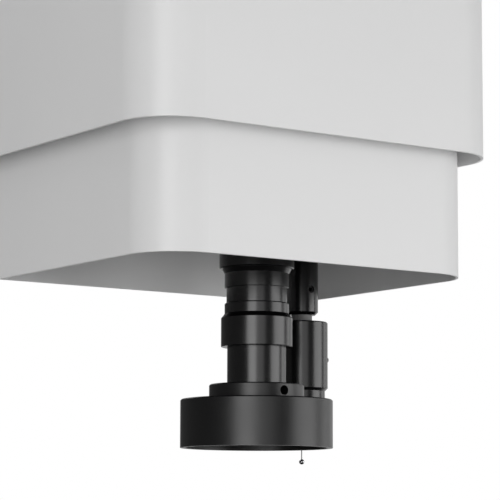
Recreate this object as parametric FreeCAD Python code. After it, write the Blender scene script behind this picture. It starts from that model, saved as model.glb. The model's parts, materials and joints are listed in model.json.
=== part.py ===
import FreeCAD, Part
import os
from math import acos, atan2, cos, degrees, hypot, pi, sin, tan

from FreeCAD import Vector

# Measuring head of a vision measuring machine. A fixed column with an outer cover carries a
# driven carriage, and the carriage brings down a zoom lens, its ring light and a touch probe.
# The origin is the centre of the bolts on the column's rear face: X right, Y back, Z up, in mm.

# Covers
outer_width = 306.0
outer_height = 460.0
outer_corner = 40.3
cover_gap = 14.0
inner_corner = 38.7
inner_height = 300.0
inner_drop = 88.0
lens_to_front = 86.15
lens_to_back = 137.4
sheet = 2.0
sheet_fit = 0.3
cover_stop = 3.0
lid_flange = 15.0
vent_count = 9
vent_pitch = 9.0
vent_slot = 4.0
vent_length = 90.0
vent_corner = 1.2
panel_flange = 15.0
dust_plate_rise = 46.0
dust_rim = 12.0
dust_clearance = 2.0

# Column
side_shelf = 20.0
column_base = 20.0
column_foot = 8.0
column_head = 20.0
beam_height = 32.0
beam_width = 40.0
beam_chamfer = 3.0
plate_corner = 8.0
bolt_spacing_x = 200.0
bolt_spacing_z = 360.0
bolt_hole = 9.0
dowel_hole = 8.0
dowel_spacing = 392.0
relief_depth = 3.0
relief_width = 170.0
relief_height = 320.0
relief_corner = 12.0
edge_tolerance = 0.01
cable_hole = 24.0
cable_hole_z = 100.0
grommet_lip = 3.0
grommet_bore = 16.0

# Guides
rail_spacing = 170.0
rail_width = 15.0
rail_height = 15.0
rail_waist = 5.6
rail_waist_low = 5.5
rail_waist_high = 12.5
rail_edge = 1.0
rail_end_gap = 4.0
rail_length = 376.0
guide_height = 28.0
block_width = 34.0
block_length = 44.0
block_cap = 8.0
block_lift = 4.3
block_edge = 2.0
block_cap_inset = 1.0
block_spacing = 110.0
guide_clearance = 0.3

# Travel of the carriage
travel_up = 80.0
travel_down = 120.0

# Screw drive
screw_depth = 30.0
screw_d = 16.0
journal_d = 12.0
tail_d = 8.0
shaft_fit = 0.04
seat_fit = 0.03
bearing_d = 28.0
bearing_width = 8.0
bearing_lip = 3.0
support_width = 60.0
support_height = 22.0
support_bottom = 4.0
support_corner = 6.0
upper_support_z = 62.0
thread_gap = 6.0
locknut_d = 22.0
locknut_height = 7.0
locknut_slot = 3.0
locknut_slot_depth = 2.0
locknut_slot_count = 4
nut_d = 28.0
nut_length = 42.0
nut_flange_d = 44.0
nut_flange = 9.0
nut_z = -45.0
nut_bracket_width = 64.0
nut_bracket_height = 22.0
nut_bracket_edge = 9.0
coupling_d = 30.0
coupling_gap = 1.0
hub_length = 13.0
jaw_height = 7.0
jaw_count = 3
jaw_angle = 48.0
spider_leg = 10.0
spider_play = 0.2
spider_root = 1.0
spider_d = 16.0
spider_bore = 8.0
motor_size = 57.0
motor_length = 60.0
motor_cap = 9.0
motor_corner = 6.0
motor_waist = 1.5
pilot_d = 38.0
pilot_height = 1.6
brake_d = 54.0
brake_length = 24.0
bracket_wall = 6.0
bracket_plate = 8.0
bracket_rise = 52.0
bracket_corner = 3.0
buffer_d = 12.0
buffer_height = 6.0
buffer_spacing = 44.0

# Scale, sensors and carriage
scale_width = 13.0
scale_depth = 18.0
scale_length = 330.0
scale_inset = 3.0
scale_edge = 1.5
reader_gap = 0.8
reader_length = 50.0
reader_depth = 16.0
reader_wall = 5.0
sensor_width = 13.0
sensor_depth = 17.0
sensor_height = 22.0
sensor_slot = 5.0
sensor_slot_depth = 10.0
flag_thick = 2.0
flag_height = 30.0
flag_reach = 7.0
carriage_margin = 8.0
carriage_height = 180.0
carriage_thick = 14.0
carriage_z = -10.0
boss_width = 150.0
boss_height = 120.0
boss_z = 10.0
window_gap = 0.5
head_plate_width = 200.0
head_plate_thick = 12.0
head_plate_top = 62.0
head_plate_lift = 3.0

# Lens, from the ring light's lower face upwards
ring_below_cover = 125.4
ring_d = 110.0
ring_height = 34.65
ring_wall = 3.0
ring_lip = 4.0
ring_lip_height = 2.0
ring_roof = 4.0
ring_edge = 0.8
ring_hub_d = 52.0
ring_hub_height = 13.0
board_inner_d = 56.0
board_outer_d = 102.0
board_low = 7.0
board_high = 26.0
board_thick = 1.6
emitter_rows = 4
emitter_size = 3.0
emitter_height = 1.2
emitter_pitch = 11.0
emitter_seat = 0.1
ring_clamp_d = 68.6
ring_clamp_height = 10.8
ring_clamp_edge = 0.8
ring_clamp_hole = 7.0
ring_clamp_hole_drop = 5.5
ring_screw_d = 6.8
ring_screw_length = 5.0
lower_tube_d = 42.7
lower_tube_shown = 27.1
lower_tube_end = 8.0
lower_tube_bore = 36.0
slide_fit = 0.06
zoom_d = 51.8
zoom_height = 24.35
zoom_bevel = 3.3
zoom_bevel_depth = 2.6
zoom_end_gap = 0.15
zoom_journal_d = 41.0
step_c_d = 46.7
step_c = 7.6
step_b_d = 44.0
step_b = 10.85
step_a_d = 46.8
step_a = 10.5
cone = 3.45
cone_top_d = 50.6
upper_tube_d = 54.4
upper_tube_length = 121.0
barrel_bore = 34.0
barrel_edge = 0.8
glass_fit = 0.05
objective_thick = 6.0
glass_lip = 1.5
cell_height = 14.0
cell_rest = 14.0
cell_glass_d = 26.0
cell_glass_thick = 5.0
clamp_ring_d = 76.0
clamp_ring_height = 24.0
clamp_rise = 14.0
clamp_split = 2.0
clamp_ear = 15.0
clamp_ear_thick = 9.0
clamp_screw_d = 5.0
clamp_screw_head = 8.5
lens_base_width = 90.0
lens_base_height = 86.0
lens_base_thick = 12.0
lens_arm_end_width = 60.0
lens_arm_seat = 25.0
gusset_thick = 10.0
coax_rise = 42.0
coax_d = 22.0
coax_spigot_d = 18.0
coax_spigot = 5.2
coax_neck = 18.0
coax_body = 26.0
coax_body_length = 44.0
coax_groove = 2.0
coax_groove_count = 7
coax_groove_depth = 4.0
adapter_d = 31.0
adapter_height = 20.0
adapter_step = 2.0
camera_size = 44.0
camera_height = 60.0
camera_edge = 2.5
camera_fin_count = 5
camera_fin_depth = 1.5
camera_fin_width = 3.0

# Touch probe, from the ring light's lower face upwards
probe_x = 69.8
probe_behind = 40.0
ball_below_ring = 7.4
ball_d = 4.0
stem_d = 1.0
stylus_length = 20.0
stylus_head_d = 3.0
stylus_head = 4.0
stylus_taper = 1.0
nose_d = 35.0
nose_straight = 24.0
nose_shown = 45.6
nose_rim = 2.1
nose_end_lift = 0.8
nose_wall = 2.5
nose_mouth_gap = 0.4
nose_spigot = 8.0
seat_rise = 14.6
seat_bore = 20.0
probe_rise = 4.0
stylus_tilt = 10.0
body_d = 39.3
body_length = 52.1
body_bevel = 2.15
body_edge = 0.8
body_bore = 31.0
body_roof = 5.0
neck_d = 15.6
neck_length = 5.4
shank_d = 12.0
shank_length = 28.0
shank_gap = 1.0
holder_d = 24.7
holder_bevel = 2.2
holder_length = 112.0
holder_hole = 5.6
holder_hole_rise = 18.9
holder_screw_length = 5.0
dome_d = 3.7
dome_rise = 23.6
dome_proud = 0.8
dome_angle = -35.0
plunger_fit = 0.3
plunger_height = 8.0
plunger_wall = 3.5
gimbal_d = 17.2
gimbal_wall = 2.2
gimbal_height = 4.4
hub_d = 8.0
pin_d = 1.6
carrier_neck_d = 3.5
probe_bracket_width = 40.0
probe_bracket_height = 60.0
probe_bracket_thick = 10.0
probe_ring_d = 40.0
probe_arm_width = 24.0

# Fasteners of the covers
cover_screw_d = 4.0
cover_screw_head = 7.6
cover_screw_rise = 2.2
side_bracket_thick = 3.0
side_bracket_flange = 22.0
cover_screw_count = 4
cover_screw_margin = 40.0

# Planes and axes that follow from the sizes above
outer_bottom = -outer_height / 2
outer_top = outer_height / 2
inner_bottom = outer_bottom - inner_drop
inner_width = outer_width - 2 * cover_gap
column_width = rail_spacing + beam_width + 2 * side_shelf
column_bottom = outer_bottom + column_foot
column_top = outer_top - column_head
base_y = -column_base
beam_y = base_y - beam_height
carriage_y = beam_y - guide_height
head_y = carriage_y - carriage_thick
carriage_width = rail_spacing + block_width + 2 * carriage_margin
plate_y = head_y - sheet
mount_y = plate_y - head_plate_thick
lens_y = head_y - lens_to_back
inner_front = lens_y - lens_to_front
outer_front = inner_front - cover_gap
screw_y = base_y - screw_depth
bracket_turn = base_y + side_bracket_thick
dust_z = inner_bottom + dust_plate_rise
clamp_z = dust_z + clamp_rise
ring_z = inner_bottom - ring_below_cover
ring_top = ring_z + ring_height
ring_clamp_top = ring_top + ring_clamp_height
zoom_z = ring_clamp_top + lower_tube_shown
zoom_top = zoom_z + zoom_height
step_b_z = zoom_top + step_c
step_a_z = step_b_z + step_b
cone_z = step_a_z + step_a
upper_z = cone_z + cone
upper_top = upper_z + upper_tube_length
beam_inner = (rail_spacing - beam_width) / 2
beam_outer = (rail_spacing + beam_width) / 2
cable_hole_x = -(beam_inner - beam_chamfer + support_width / 2) / 2
probe_y = lens_y + probe_behind
ball_z = ring_z - ball_below_ring
carrier_z = ball_z + stylus_length
nose_z = carrier_z + nose_end_lift
seat_z = nose_z + seat_rise
gimbal_z = seat_z + plunger_height / 2
mouth_angle = acos(cos(stylus_tilt * pi / 180) ** 2)
mouth_reach = gimbal_z + probe_rise - nose_z
nose_mouth_r = mouth_reach * tan(mouth_angle) + carrier_neck_d / 2 / cos(mouth_angle) + nose_mouth_gap
body_z = ring_z + nose_shown
body_top = body_z + body_length
holder_z = body_top + neck_length


def box(x0, x1, y0, y1, z0, z1):
    return Part.makeBox(x1 - x0, y1 - y0, z1 - z0, Vector(x0, y0, z0))


def centred_box(x, width, y0, y1, z, height):
    return box(x - width / 2, x + width / 2, y0, y1, z - height / 2, z + height / 2)


def rod(x, y, z, d, length, axis=Vector(0, 0, 1)):
    return Part.makeCylinder(d / 2, length, Vector(x, y, z), axis)


def prism(points, z0, z1):
    corners = [Vector(x, y, z0) for x, y in points]
    face = Part.Face(Part.makePolygon(corners + corners[:1]))
    return face.extrude(Vector(0, 0, z1 - z0))


def turned(profile, x=0.0, y=0.0):
    """Solid of revolution of a closed outline of radius and height about an upright axis."""
    corners = [Vector(x + r, y, z) for r, z in profile]
    face = Part.Face(Part.makePolygon(corners + corners[:1]))
    return face.revolve(Vector(x, y, 0), Vector(0, 0, 1), 360)


def tube(x, y, z0, z1, outer_d, bore_d):
    return rod(x, y, z0, outer_d, z1 - z0).cut(rod(x, y, z0, bore_d, z1 - z0))


def hood_face(half, front, back, corner, z):
    """Plan of a cover: square at the back, with two rounded corners at the front."""
    mid = corner * (1 - cos(pi / 4))
    p1 = Vector(-half, back, z)
    p2 = Vector(-half, front + corner, z)
    p3 = Vector(-half + corner, front, z)
    p4 = Vector(half - corner, front, z)
    p5 = Vector(half, front + corner, z)
    p6 = Vector(half, back, z)
    edges = [
        Part.LineSegment(p1, p2).toShape(),
        Part.Arc(p2, Vector(-half + mid, front + mid, z), p3).toShape(),
        Part.LineSegment(p3, p4).toShape(),
        Part.Arc(p4, Vector(half - mid, front + mid, z), p5).toShape(),
        Part.LineSegment(p5, p6).toShape(),
        Part.LineSegment(p6, p1).toShape(),
    ]
    return Part.Face(Part.Wire(edges))


def hood(half, front, back, corner, z0, z1, inset=0.0):
    face = hood_face(half - inset, front + inset, back, corner - inset, z0)
    return face.extrude(Vector(0, 0, z1 - z0))


def hood_wall(half, front, back, corner, z0, z1, wall, inset=0.0):
    outside = hood(half, front, back, corner, z0, z1, inset)
    return outside.cut(hood(half, front, back, corner, z0, z1, inset + wall))


def group(solids):
    return Part.makeCompound(solids)


def save(name, shape):
    shape.exportStep("parts/" + name + ".step")


# Column, its guides and its covers
def column_casting():
    half = column_width / 2
    root = beam_chamfer
    right = [
        (half, 0.0),
        (half, base_y),
        (beam_outer + root, base_y),
        (beam_outer, base_y - root),
        (beam_outer, beam_y),
        (beam_inner, beam_y),
        (beam_inner, base_y - root),
        (beam_inner - root, base_y),
    ]
    left = [(-x, y) for x, y in reversed(right)]
    casting = prism(right + left, column_bottom, column_top)
    relief = centred_box(0, relief_width, -relief_depth, 0, 0, relief_height)
    casting = casting.cut(relief.makeFillet(relief_corner, [e for e in relief.Edges if along_depth(e)]))
    through = Vector(0, -1, 0)
    for x in (-bolt_spacing_x / 2, bolt_spacing_x / 2):
        for z in (-bolt_spacing_z / 2, bolt_spacing_z / 2):
            casting = casting.cut(rod(x, 0, z, bolt_hole, column_base + beam_height, through))
    for z in (-dowel_spacing / 2, dowel_spacing / 2):
        casting = casting.cut(rod(0, 0, z, dowel_hole, column_base, through))
    return casting.cut(rod(cable_hole_x, 0, cable_hole_z, cable_hole, column_base, through))


def guide_rail(x):
    half = rail_width / 2
    grip = half - rail_waist
    right = [
        (half, 0.0),
        (half, rail_waist_low),
        (rail_waist, rail_waist_low + grip),
        (rail_waist, rail_waist_high - grip),
        (half, rail_waist_high),
        (half, rail_height - rail_edge),
        (half - rail_edge, rail_height),
    ]
    outline = right + [(-u, v) for u, v in reversed(right)]
    start = column_bottom + rail_end_gap
    points = [(x + u, beam_y - v) for u, v in outline]
    return prism(points, start, start + rail_length)


def cable_grommet():
    inside = -relief_depth
    outer = cable_hole - 2 * seat_fit
    body = rod(cable_hole_x, inside, cable_hole_z, outer, column_base - relief_depth, Vector(0, -1, 0))
    lip = rod(cable_hole_x, base_y, cable_hole_z, outer + 2 * grommet_lip, grommet_lip, Vector(0, -1, 0))
    way = rod(cable_hole_x, 0, cable_hole_z, grommet_bore, column_base + 2 * grommet_lip, Vector(0, -1, 0))
    return body.fuse(lip).cut(way).removeSplitter()


def screw_support(z, pocket_from_top):
    front = screw_y - (screw_depth - bracket_wall)
    block = box(-support_width / 2, support_width / 2, front, base_y, z, z + support_height)
    block = block.cut(rod(0, screw_y, z, bearing_d - 2 * bearing_lip, support_height))
    pocket_z = z + support_height - bearing_width if pocket_from_top else z
    block = block.cut(rod(0, screw_y, pocket_z, bearing_d + 2 * seat_fit, bearing_width))
    edges = [e for e in block.Edges if is_upright(e) and e.BoundBox.YMax < front + edge_tolerance]
    return block.makeFillet(support_corner, edges)


def is_upright(edge):
    return max(edge.BoundBox.XLength, edge.BoundBox.YLength) < edge_tolerance


def bearing(z):
    return tube(0, screw_y, z, z + bearing_width, bearing_d, journal_d + 2 * shaft_fit)


lower_support_z = column_bottom + support_bottom
upper_support_top = upper_support_z + support_height
bracket_top = upper_support_top + bracket_rise
motor_z = bracket_top
motor_top = motor_z + motor_length
coupling_z = upper_support_top + locknut_height + coupling_gap
spider_z = coupling_z + hub_length
upper_hub_z = spider_z + jaw_height


def motor_bracket():
    half = support_width / 2
    front = screw_y - (screw_depth - bracket_wall)
    frame = box(-half, half, front, base_y, upper_support_top, bracket_top)
    hollow = half - bracket_wall
    frame = frame.cut(box(-hollow, hollow, front, base_y, upper_support_top, bracket_top - bracket_plate))
    frame = frame.cut(rod(0, screw_y, bracket_top - bracket_plate, pilot_d + 2 * seat_fit, bracket_plate))
    edges = [e for e in frame.Edges if is_upright(e) and e.BoundBox.YMax < front + edge_tolerance]
    edges = [e for e in edges if abs(e.BoundBox.XMax) > half - edge_tolerance]
    return frame.makeFillet(bracket_corner, edges)


def square_can(size, corner, z0, z1):
    can = centred_box(0, size, screw_y - size / 2, screw_y + size / 2, (z0 + z1) / 2, z1 - z0)
    return can.makeChamfer(corner, [e for e in can.Edges if is_upright(e)])


def z_motor():
    body = square_can(motor_size, motor_corner, motor_z, motor_z + motor_cap)
    middle_top = motor_top - motor_cap
    body = body.fuse(square_can(motor_size - 2 * motor_waist, motor_corner, motor_z + motor_cap, middle_top))
    body = body.fuse(square_can(motor_size, motor_corner, middle_top, motor_top))
    body = body.fuse(rod(0, screw_y, motor_z - pilot_height, pilot_d, pilot_height))
    bore = tail_d + 2 * shaft_fit
    return body.cut(rod(0, screw_y, motor_z - pilot_height, bore, motor_cap)).removeSplitter()


def motor_brake():
    return rod(0, screw_y, motor_top, brake_d, brake_length)


def end_buffers():
    lower = lower_support_z + support_height
    upper = upper_support_z - buffer_height
    buffers = []
    for z in (lower, upper):
        for x in (-buffer_spacing / 2, buffer_spacing / 2):
            buffers.append(rod(x, screw_y, z, buffer_d, buffer_height))
    return group(buffers)


def linear_scale():
    x = column_width / 2 - scale_inset - scale_width / 2
    z = carriage_z + (travel_up - travel_down) / 2
    body = centred_box(x, scale_width, base_y - scale_depth, base_y, z, scale_length)
    front = [e for e in body.Edges if is_upright(e) and e.BoundBox.YMax < base_y - edge_tolerance]
    return body.makeChamfer(scale_edge, front)


sensor_x = -(column_width / 2 - scale_inset - sensor_width / 2)


def limit_sensor(z):
    body = centred_box(sensor_x, sensor_width, base_y - sensor_depth, base_y, z, sensor_height)
    slot_back = base_y - sensor_depth + sensor_slot_depth
    return body.cut(centred_box(sensor_x, sensor_slot, base_y - sensor_depth, slot_back, z, sensor_height))


def cover_screw_places():
    """Seat and outward direction of each screw that holds the outer cover's sides."""
    y = bracket_turn - side_bracket_flange / 2
    low = column_bottom + cover_screw_margin
    high = column_top - cover_screw_margin
    pitch = (high - low) / (cover_screw_count - 1)
    places = []
    for side in (-1, 1):
        for i in range(cover_screw_count):
            places.append((Vector(side * outer_width / 2, y, low + i * pitch), Vector(side, 0, 0)))
    return places


def drilled(shape, depth):
    for seat, outward in cover_screw_places():
        shape = shape.cut(Part.makeCylinder(cover_screw_d / 2 + seat_fit, depth, seat, outward * -1))
    return shape


def outer_cover():
    half = outer_width / 2
    top = outer_top - sheet
    wall = hood_wall(half, outer_front, -cover_stop, outer_corner, outer_bottom, top, sheet)
    return drilled(wall, sheet)


def outer_top_cover():
    half = outer_width / 2
    lid = hood(half, outer_front, -cover_stop, outer_corner, outer_top - sheet, outer_top)
    for i in range(vent_count):
        y = screw_y + (i - (vent_count - 1) / 2) * vent_pitch
        slot = centred_box(0, vent_length, y - vent_slot / 2, y + vent_slot / 2, outer_top, 3 * sheet)
        lid = lid.cut(slot.makeChamfer(vent_corner, [e for e in slot.Edges if is_upright(e)]))
    flange_z = outer_top - sheet - lid_flange
    inset = sheet + sheet_fit
    flange = hood_wall(
        half, outer_front, -cover_stop, outer_corner, flange_z, outer_top - sheet, sheet, inset
    )
    return lid.fuse(flange).removeSplitter()


def side_bracket(side):
    column_side = column_width / 2
    cover_side = outer_width / 2 - sheet
    t = side_bracket_thick
    turn = bracket_turn
    outline = [
        (column_side, -cover_stop),
        (column_side + t, -cover_stop),
        (column_side + t, turn),
        (cover_side, turn),
        (cover_side, turn - side_bracket_flange),
        (cover_side - t, turn - side_bracket_flange),
        (cover_side - t, turn - t),
        (column_side, turn - t),
    ]
    points = [(side * x, y) for x, y in outline]
    return prism(points, column_bottom + column_head, column_top - column_head)


def cover_brackets():
    return drilled(group([side_bracket(-1), side_bracket(1)]), sheet + side_bracket_thick)


def button_screw(seat, outward, length):
    head = Part.makeCylinder(cover_screw_head / 2, cover_screw_rise, seat, outward)
    shank = Part.makeCylinder(cover_screw_d / 2, length, seat, outward * -1)
    return head.fuse(shank)


def cover_screws():
    length = sheet + side_bracket_thick
    return group([button_screw(seat, outward, length) for seat, outward in cover_screw_places()])


# Screw and what turns with it
def ball_screw():
    low_bearing = lower_support_z
    thread_low = lower_support_z + support_height + thread_gap
    thread_high = upper_support_z - thread_gap / 2
    journal_high = upper_support_top + locknut_height
    journal = journal_d / 2
    tail_high = spider_z
    profile = [
        (0, low_bearing),
        (journal, low_bearing),
        (journal, thread_low),
        (screw_d / 2, thread_low),
        (screw_d / 2, thread_high),
        (journal, thread_high),
        (journal, journal_high),
        (tail_d / 2, journal_high),
        (tail_d / 2, tail_high),
        (0, tail_high),
    ]
    return turned(profile, 0, screw_y)


def screw_locknut():
    nut = tube(0, screw_y, upper_support_top, upper_support_top + locknut_height, locknut_d, journal_d)
    half = locknut_slot / 2
    for i in range(locknut_slot_count):
        slot = box(-half, half, locknut_d / 2 - locknut_slot_depth, locknut_d, 0, locknut_height)
        slot.rotate(Vector(0, 0, 0), Vector(0, 0, 1), 360 * i / locknut_slot_count)
        slot.translate(Vector(0, screw_y, upper_support_top))
        nut = nut.cut(slot)
    return nut


def sector(inner_d, outer_d, start, sweep, z0, z1):
    ring = Part.makeCylinder(outer_d / 2, z1 - z0, Vector(0, 0, z0), Vector(0, 0, 1), sweep)
    ring = ring.cut(rod(0, 0, z0, inner_d, z1 - z0))
    ring.rotate(Vector(0, 0, 0), Vector(0, 0, 1), start)
    ring.translate(Vector(0, screw_y, 0))
    return ring


def coupling_hub(z, first_jaw):
    hub = tube(0, screw_y, z, z + hub_length, coupling_d, tail_d)
    for i in range(jaw_count):
        start = first_jaw + i * 360 / jaw_count
        hub = hub.fuse(sector(spider_d, coupling_d, start, jaw_angle, spider_z, spider_z + jaw_height))
    return hub.removeSplitter()


def coupling_spider():
    low = spider_z + spider_play
    high = spider_z + jaw_height - spider_play
    ring = tube(0, screw_y, low, high, spider_d - 2 * spider_play, spider_bore)
    pitch = 180 / jaw_count
    for i in range(2 * jaw_count):
        start = jaw_angle + i * pitch + (pitch - jaw_angle - spider_leg) / 2
        ring = ring.fuse(sector(spider_d - 2 * spider_root, coupling_d, start, spider_leg, low, high))
    return ring.removeSplitter()


def motor_shaft():
    return rod(0, screw_y, upper_hub_z, tail_d, motor_z + motor_cap - pilot_height - upper_hub_z)


# Carriage
def guide_block(x, z):
    back = beam_y - block_lift
    half = block_width / 2
    inside = rail_width / 2 + guide_clearance
    roof = beam_y - rail_height - guide_clearance
    right = [
        (inside, back),
        (half - block_edge, back),
        (half, back - block_edge),
        (half, carriage_y + block_edge),
        (half - block_edge, carriage_y),
    ]
    left = [(-u, y) for u, y in reversed(right)]
    outline = right + left + [(-inside, roof), (inside, roof)]
    return prism([(x + u, y) for u, y in outline], z - block_length / 2, z + block_length / 2)


def block_cap_pair(x, z):
    half = block_width / 2 - block_cap_inset
    inside = rail_width / 2 + guide_clearance
    roof = beam_y - rail_height - guide_clearance
    back = beam_y - block_lift - block_cap_inset
    front = carriage_y + block_cap_inset
    outline = [(inside, back), (half, back), (half, front), (-half, front)]
    outline = outline + [(-half, back), (-inside, back), (-inside, roof), (inside, roof)]
    points = [(x + u, y) for u, y in outline]
    top = z + block_length / 2
    bottom = z - block_length / 2
    return [prism(points, top, top + block_cap), prism(points, bottom - block_cap, bottom)]


def carriage_plate():
    plate = centred_box(0, carriage_width, head_y, carriage_y, carriage_z, carriage_height)
    upright = [e for e in plate.Edges if along_depth(e)]
    plate = plate.makeFillet(plate_corner, upright)
    boss = centred_box(0, boss_width, plate_y, head_y, boss_z, boss_height)
    return plate.fuse(boss).removeSplitter()


def along_depth(edge):
    return max(edge.BoundBox.XLength, edge.BoundBox.ZLength) < edge_tolerance


def head_plate():
    bottom = dust_z + sheet + head_plate_lift
    z = (head_plate_top + bottom) / 2
    plate = centred_box(0, head_plate_width, mount_y, plate_y, z, head_plate_top - bottom)
    plate = plate.makeFillet(plate_corner, [e for e in plate.Edges if along_depth(e)])
    relief_z = (upper_top + camera_top()) / 2
    window = centred_box(0, camera_size, mount_y, plate_y, relief_z, camera_height)
    return plate.cut(window.makeFillet(plate_corner / 2, [e for e in window.Edges if along_depth(e)]))


def camera_top():
    return upper_top + adapter_height + camera_height


def ball_nut():
    bottom = nut_z - nut_length / 2
    profile = [
        (screw_d / 2 + shaft_fit, bottom),
        (nut_flange_d / 2, bottom),
        (nut_flange_d / 2, bottom + nut_flange),
        (nut_d / 2, bottom + nut_flange),
        (nut_d / 2, bottom + nut_length),
        (screw_d / 2 + shaft_fit, bottom + nut_length),
    ]
    return turned(profile, 0, screw_y)


def nut_bracket():
    z0 = nut_z - nut_length / 2 + nut_flange
    back = screw_y + nut_d / 2 + bracket_wall
    half = nut_bracket_width / 2
    block = box(-half, half, carriage_y, back, z0, z0 + nut_bracket_height)
    edges = [e for e in block.Edges if is_upright(e) and e.BoundBox.YMin > back - edge_tolerance]
    block = block.makeChamfer(nut_bracket_edge, edges)
    return block.cut(rod(0, screw_y, z0, nut_d + 2 * seat_fit, nut_bracket_height))


def scale_reader():
    scale_front = base_y - scale_depth
    x0 = column_width / 2 - scale_inset - scale_width
    x1 = column_width / 2 - scale_inset
    face = scale_front - reader_gap
    half = reader_length / 2
    head = box(x0, x1, face - reader_depth, face, carriage_z - half, carriage_z + half)
    arm = box(x1 - reader_wall, x1, head_y, face - reader_depth, carriage_z - half / 2, carriage_z + half / 2)
    foot = box(
        carriage_width / 2, x1, head_y, head_y + reader_wall, carriage_z - half / 2, carriage_z + half / 2
    )
    return head.fuse(arm).fuse(foot).removeSplitter()


def limit_flag():
    z0 = carriage_z - flag_height / 2
    z1 = carriage_z + flag_height / 2
    tip = base_y - sensor_depth + flag_reach
    vane = box(sensor_x - flag_thick / 2, sensor_x + flag_thick / 2, head_y, tip, z0, z1)
    foot = box(sensor_x, -carriage_width / 2, head_y, head_y + flag_thick, z0, z1)
    return vane.fuse(foot).removeSplitter()


def inner_cover():
    top = inner_bottom + inner_height
    return hood_wall(inner_width / 2, inner_front, head_y, inner_corner, inner_bottom, top, sheet)


def inner_back_panel():
    half = inner_width / 2 - sheet
    outline = [(half, head_y), (half, head_y - panel_flange), (half - sheet, head_y - panel_flange)]
    outline = outline + [(half - sheet, plate_y)]
    outline = outline + [(-x, y) for x, y in reversed(outline)]
    panel = prism(outline, inner_bottom, inner_bottom + inner_height)
    window = centred_box(
        0, boss_width + 2 * window_gap, plate_y, head_y, boss_z, boss_height + 2 * window_gap
    )
    return panel.cut(window)


def dust_plate():
    half = inner_width / 2
    back = plate_y - sheet_fit
    inset = sheet + sheet_fit
    base = hood(half, inner_front, back, inner_corner, dust_z, dust_z + sheet, inset)
    notch = sheet + sheet_fit
    top = dust_z + dust_rim
    rim = hood_wall(half, inner_front, back, inner_corner, dust_z + sheet, top, sheet, inset)
    plate = base.fuse(rim)
    for side in (-1, 1):
        corner = box(-notch, notch, plate_y - panel_flange - sheet_fit, back, dust_z, top)
        corner.translate(Vector(side * (half - inset), 0, 0))
        plate = plate.cut(corner)
    lens_hole = upper_tube_d + 2 * dust_clearance
    probe_hole = holder_d + 2 * dust_clearance
    plate = plate.cut(rod(0, lens_y, dust_z, lens_hole, sheet))
    return plate.cut(rod(probe_x, probe_y, dust_z, probe_hole, sheet)).removeSplitter()


# Lens and camera
clamp_hole_d = clamp_screw_d + 2 * seat_fit


def lens_bracket():
    top = clamp_z + clamp_ring_height
    half = lens_base_width / 2
    end = lens_arm_end_width / 2
    base = box(-half, half, mount_y - lens_base_thick, mount_y, clamp_z, clamp_z + lens_base_height)
    face = mount_y - lens_base_thick
    ring_back = lens_y + lens_arm_seat
    arm = prism([(-half, face), (-end, ring_back), (end, ring_back), (half, face)], clamp_z, top)
    bracket = base.fuse(arm).fuse(rod(0, lens_y, clamp_z, clamp_ring_d, clamp_ring_height))
    for x in (-end + gusset_thick / 2, end - gusset_thick / 2):
        corners = [
            Vector(x - gusset_thick / 2, face, top),
            Vector(x - gusset_thick / 2, face, clamp_z + lens_base_height),
            Vector(x - gusset_thick / 2, ring_back, top),
        ]
        gusset = Part.Face(Part.makePolygon(corners + corners[:1])).extrude(Vector(gusset_thick, 0, 0))
        bracket = bracket.fuse(gusset)
    for side in (-1, 1):
        bracket = bracket.fuse(clamp_ear_block(side, 1))
    bracket = bracket.cut(rod(0, lens_y, clamp_z, upper_tube_d + 2 * shaft_fit, clamp_ring_height))
    split = box(-half, half, lens_y - clamp_ring_d, lens_y + clamp_split / 2, clamp_z, top)
    for x, z in clamp_screw_places():
        bracket = bracket.cut(rod(x, lens_y, z, clamp_hole_d, 2 * clamp_ear_thick, Vector(0, 1, 0)))
    return bracket.cut(split).removeSplitter()


def clamp_ear_block(side, way):
    """One ear of the clamp, behind the split for way 1 and in front of it for way -1."""
    reach = clamp_ring_d / 2 + clamp_ear
    near = clamp_split / 2
    y0, y1 = sorted((lens_y + way * near, lens_y + way * (near + clamp_ear_thick)))
    x0, x1 = sorted((side * upper_tube_d / 2, side * reach))
    return box(x0, x1, y0, y1, clamp_z, clamp_z + clamp_ring_height)


def clamp_screw_places():
    x = clamp_ring_d / 2 + clamp_ear / 2
    heights = (clamp_z + clamp_ring_height / 4, clamp_z + clamp_ring_height * 3 / 4)
    return [(side * x, z) for side in (-1, 1) for z in heights]


def lens_clamp_cap():
    top = clamp_z + clamp_ring_height
    cap = rod(0, lens_y, clamp_z, clamp_ring_d, clamp_ring_height)
    for side in (-1, 1):
        cap = cap.fuse(clamp_ear_block(side, -1))
    cap = cap.cut(rod(0, lens_y, clamp_z, upper_tube_d + 2 * shaft_fit, clamp_ring_height))
    reach = clamp_ring_d
    cap = cap.cut(box(-reach, reach, lens_y - clamp_split / 2, lens_y + reach, clamp_z, top))
    for x, z in clamp_screw_places():
        hole = rod(x, lens_y, z, clamp_hole_d, 2 * clamp_ear_thick, Vector(0, -1, 0))
        cap = cap.cut(hole)
    return cap.removeSplitter()


def lens_clamp_screws():
    screws = []
    front = lens_y - clamp_split / 2 - clamp_ear_thick
    for x, z in clamp_screw_places():
        head = rod(x, front - clamp_screw_d, z, clamp_screw_head, clamp_screw_d, Vector(0, 1, 0))
        shank = rod(x, front, z, clamp_screw_d, clamp_split + 2 * clamp_ear_thick, Vector(0, 1, 0))
        screws.append(head.fuse(shank))
    return group(screws)


def lens_upper_tube():
    bore = barrel_bore / 2
    profile = [
        (bore, cone_z),
        (step_a_d / 2, cone_z),
        (cone_top_d / 2, upper_z),
        (upper_tube_d / 2 - barrel_edge, upper_z),
        (upper_tube_d / 2, upper_z + barrel_edge),
        (upper_tube_d / 2, upper_top),
        (bore, upper_top),
    ]
    port = rod(0, lens_y, clamp_z + coax_rise, coax_spigot_d, upper_tube_d, Vector(-1, 0, 0))
    return turned(profile, 0, lens_y).cut(port)


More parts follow.
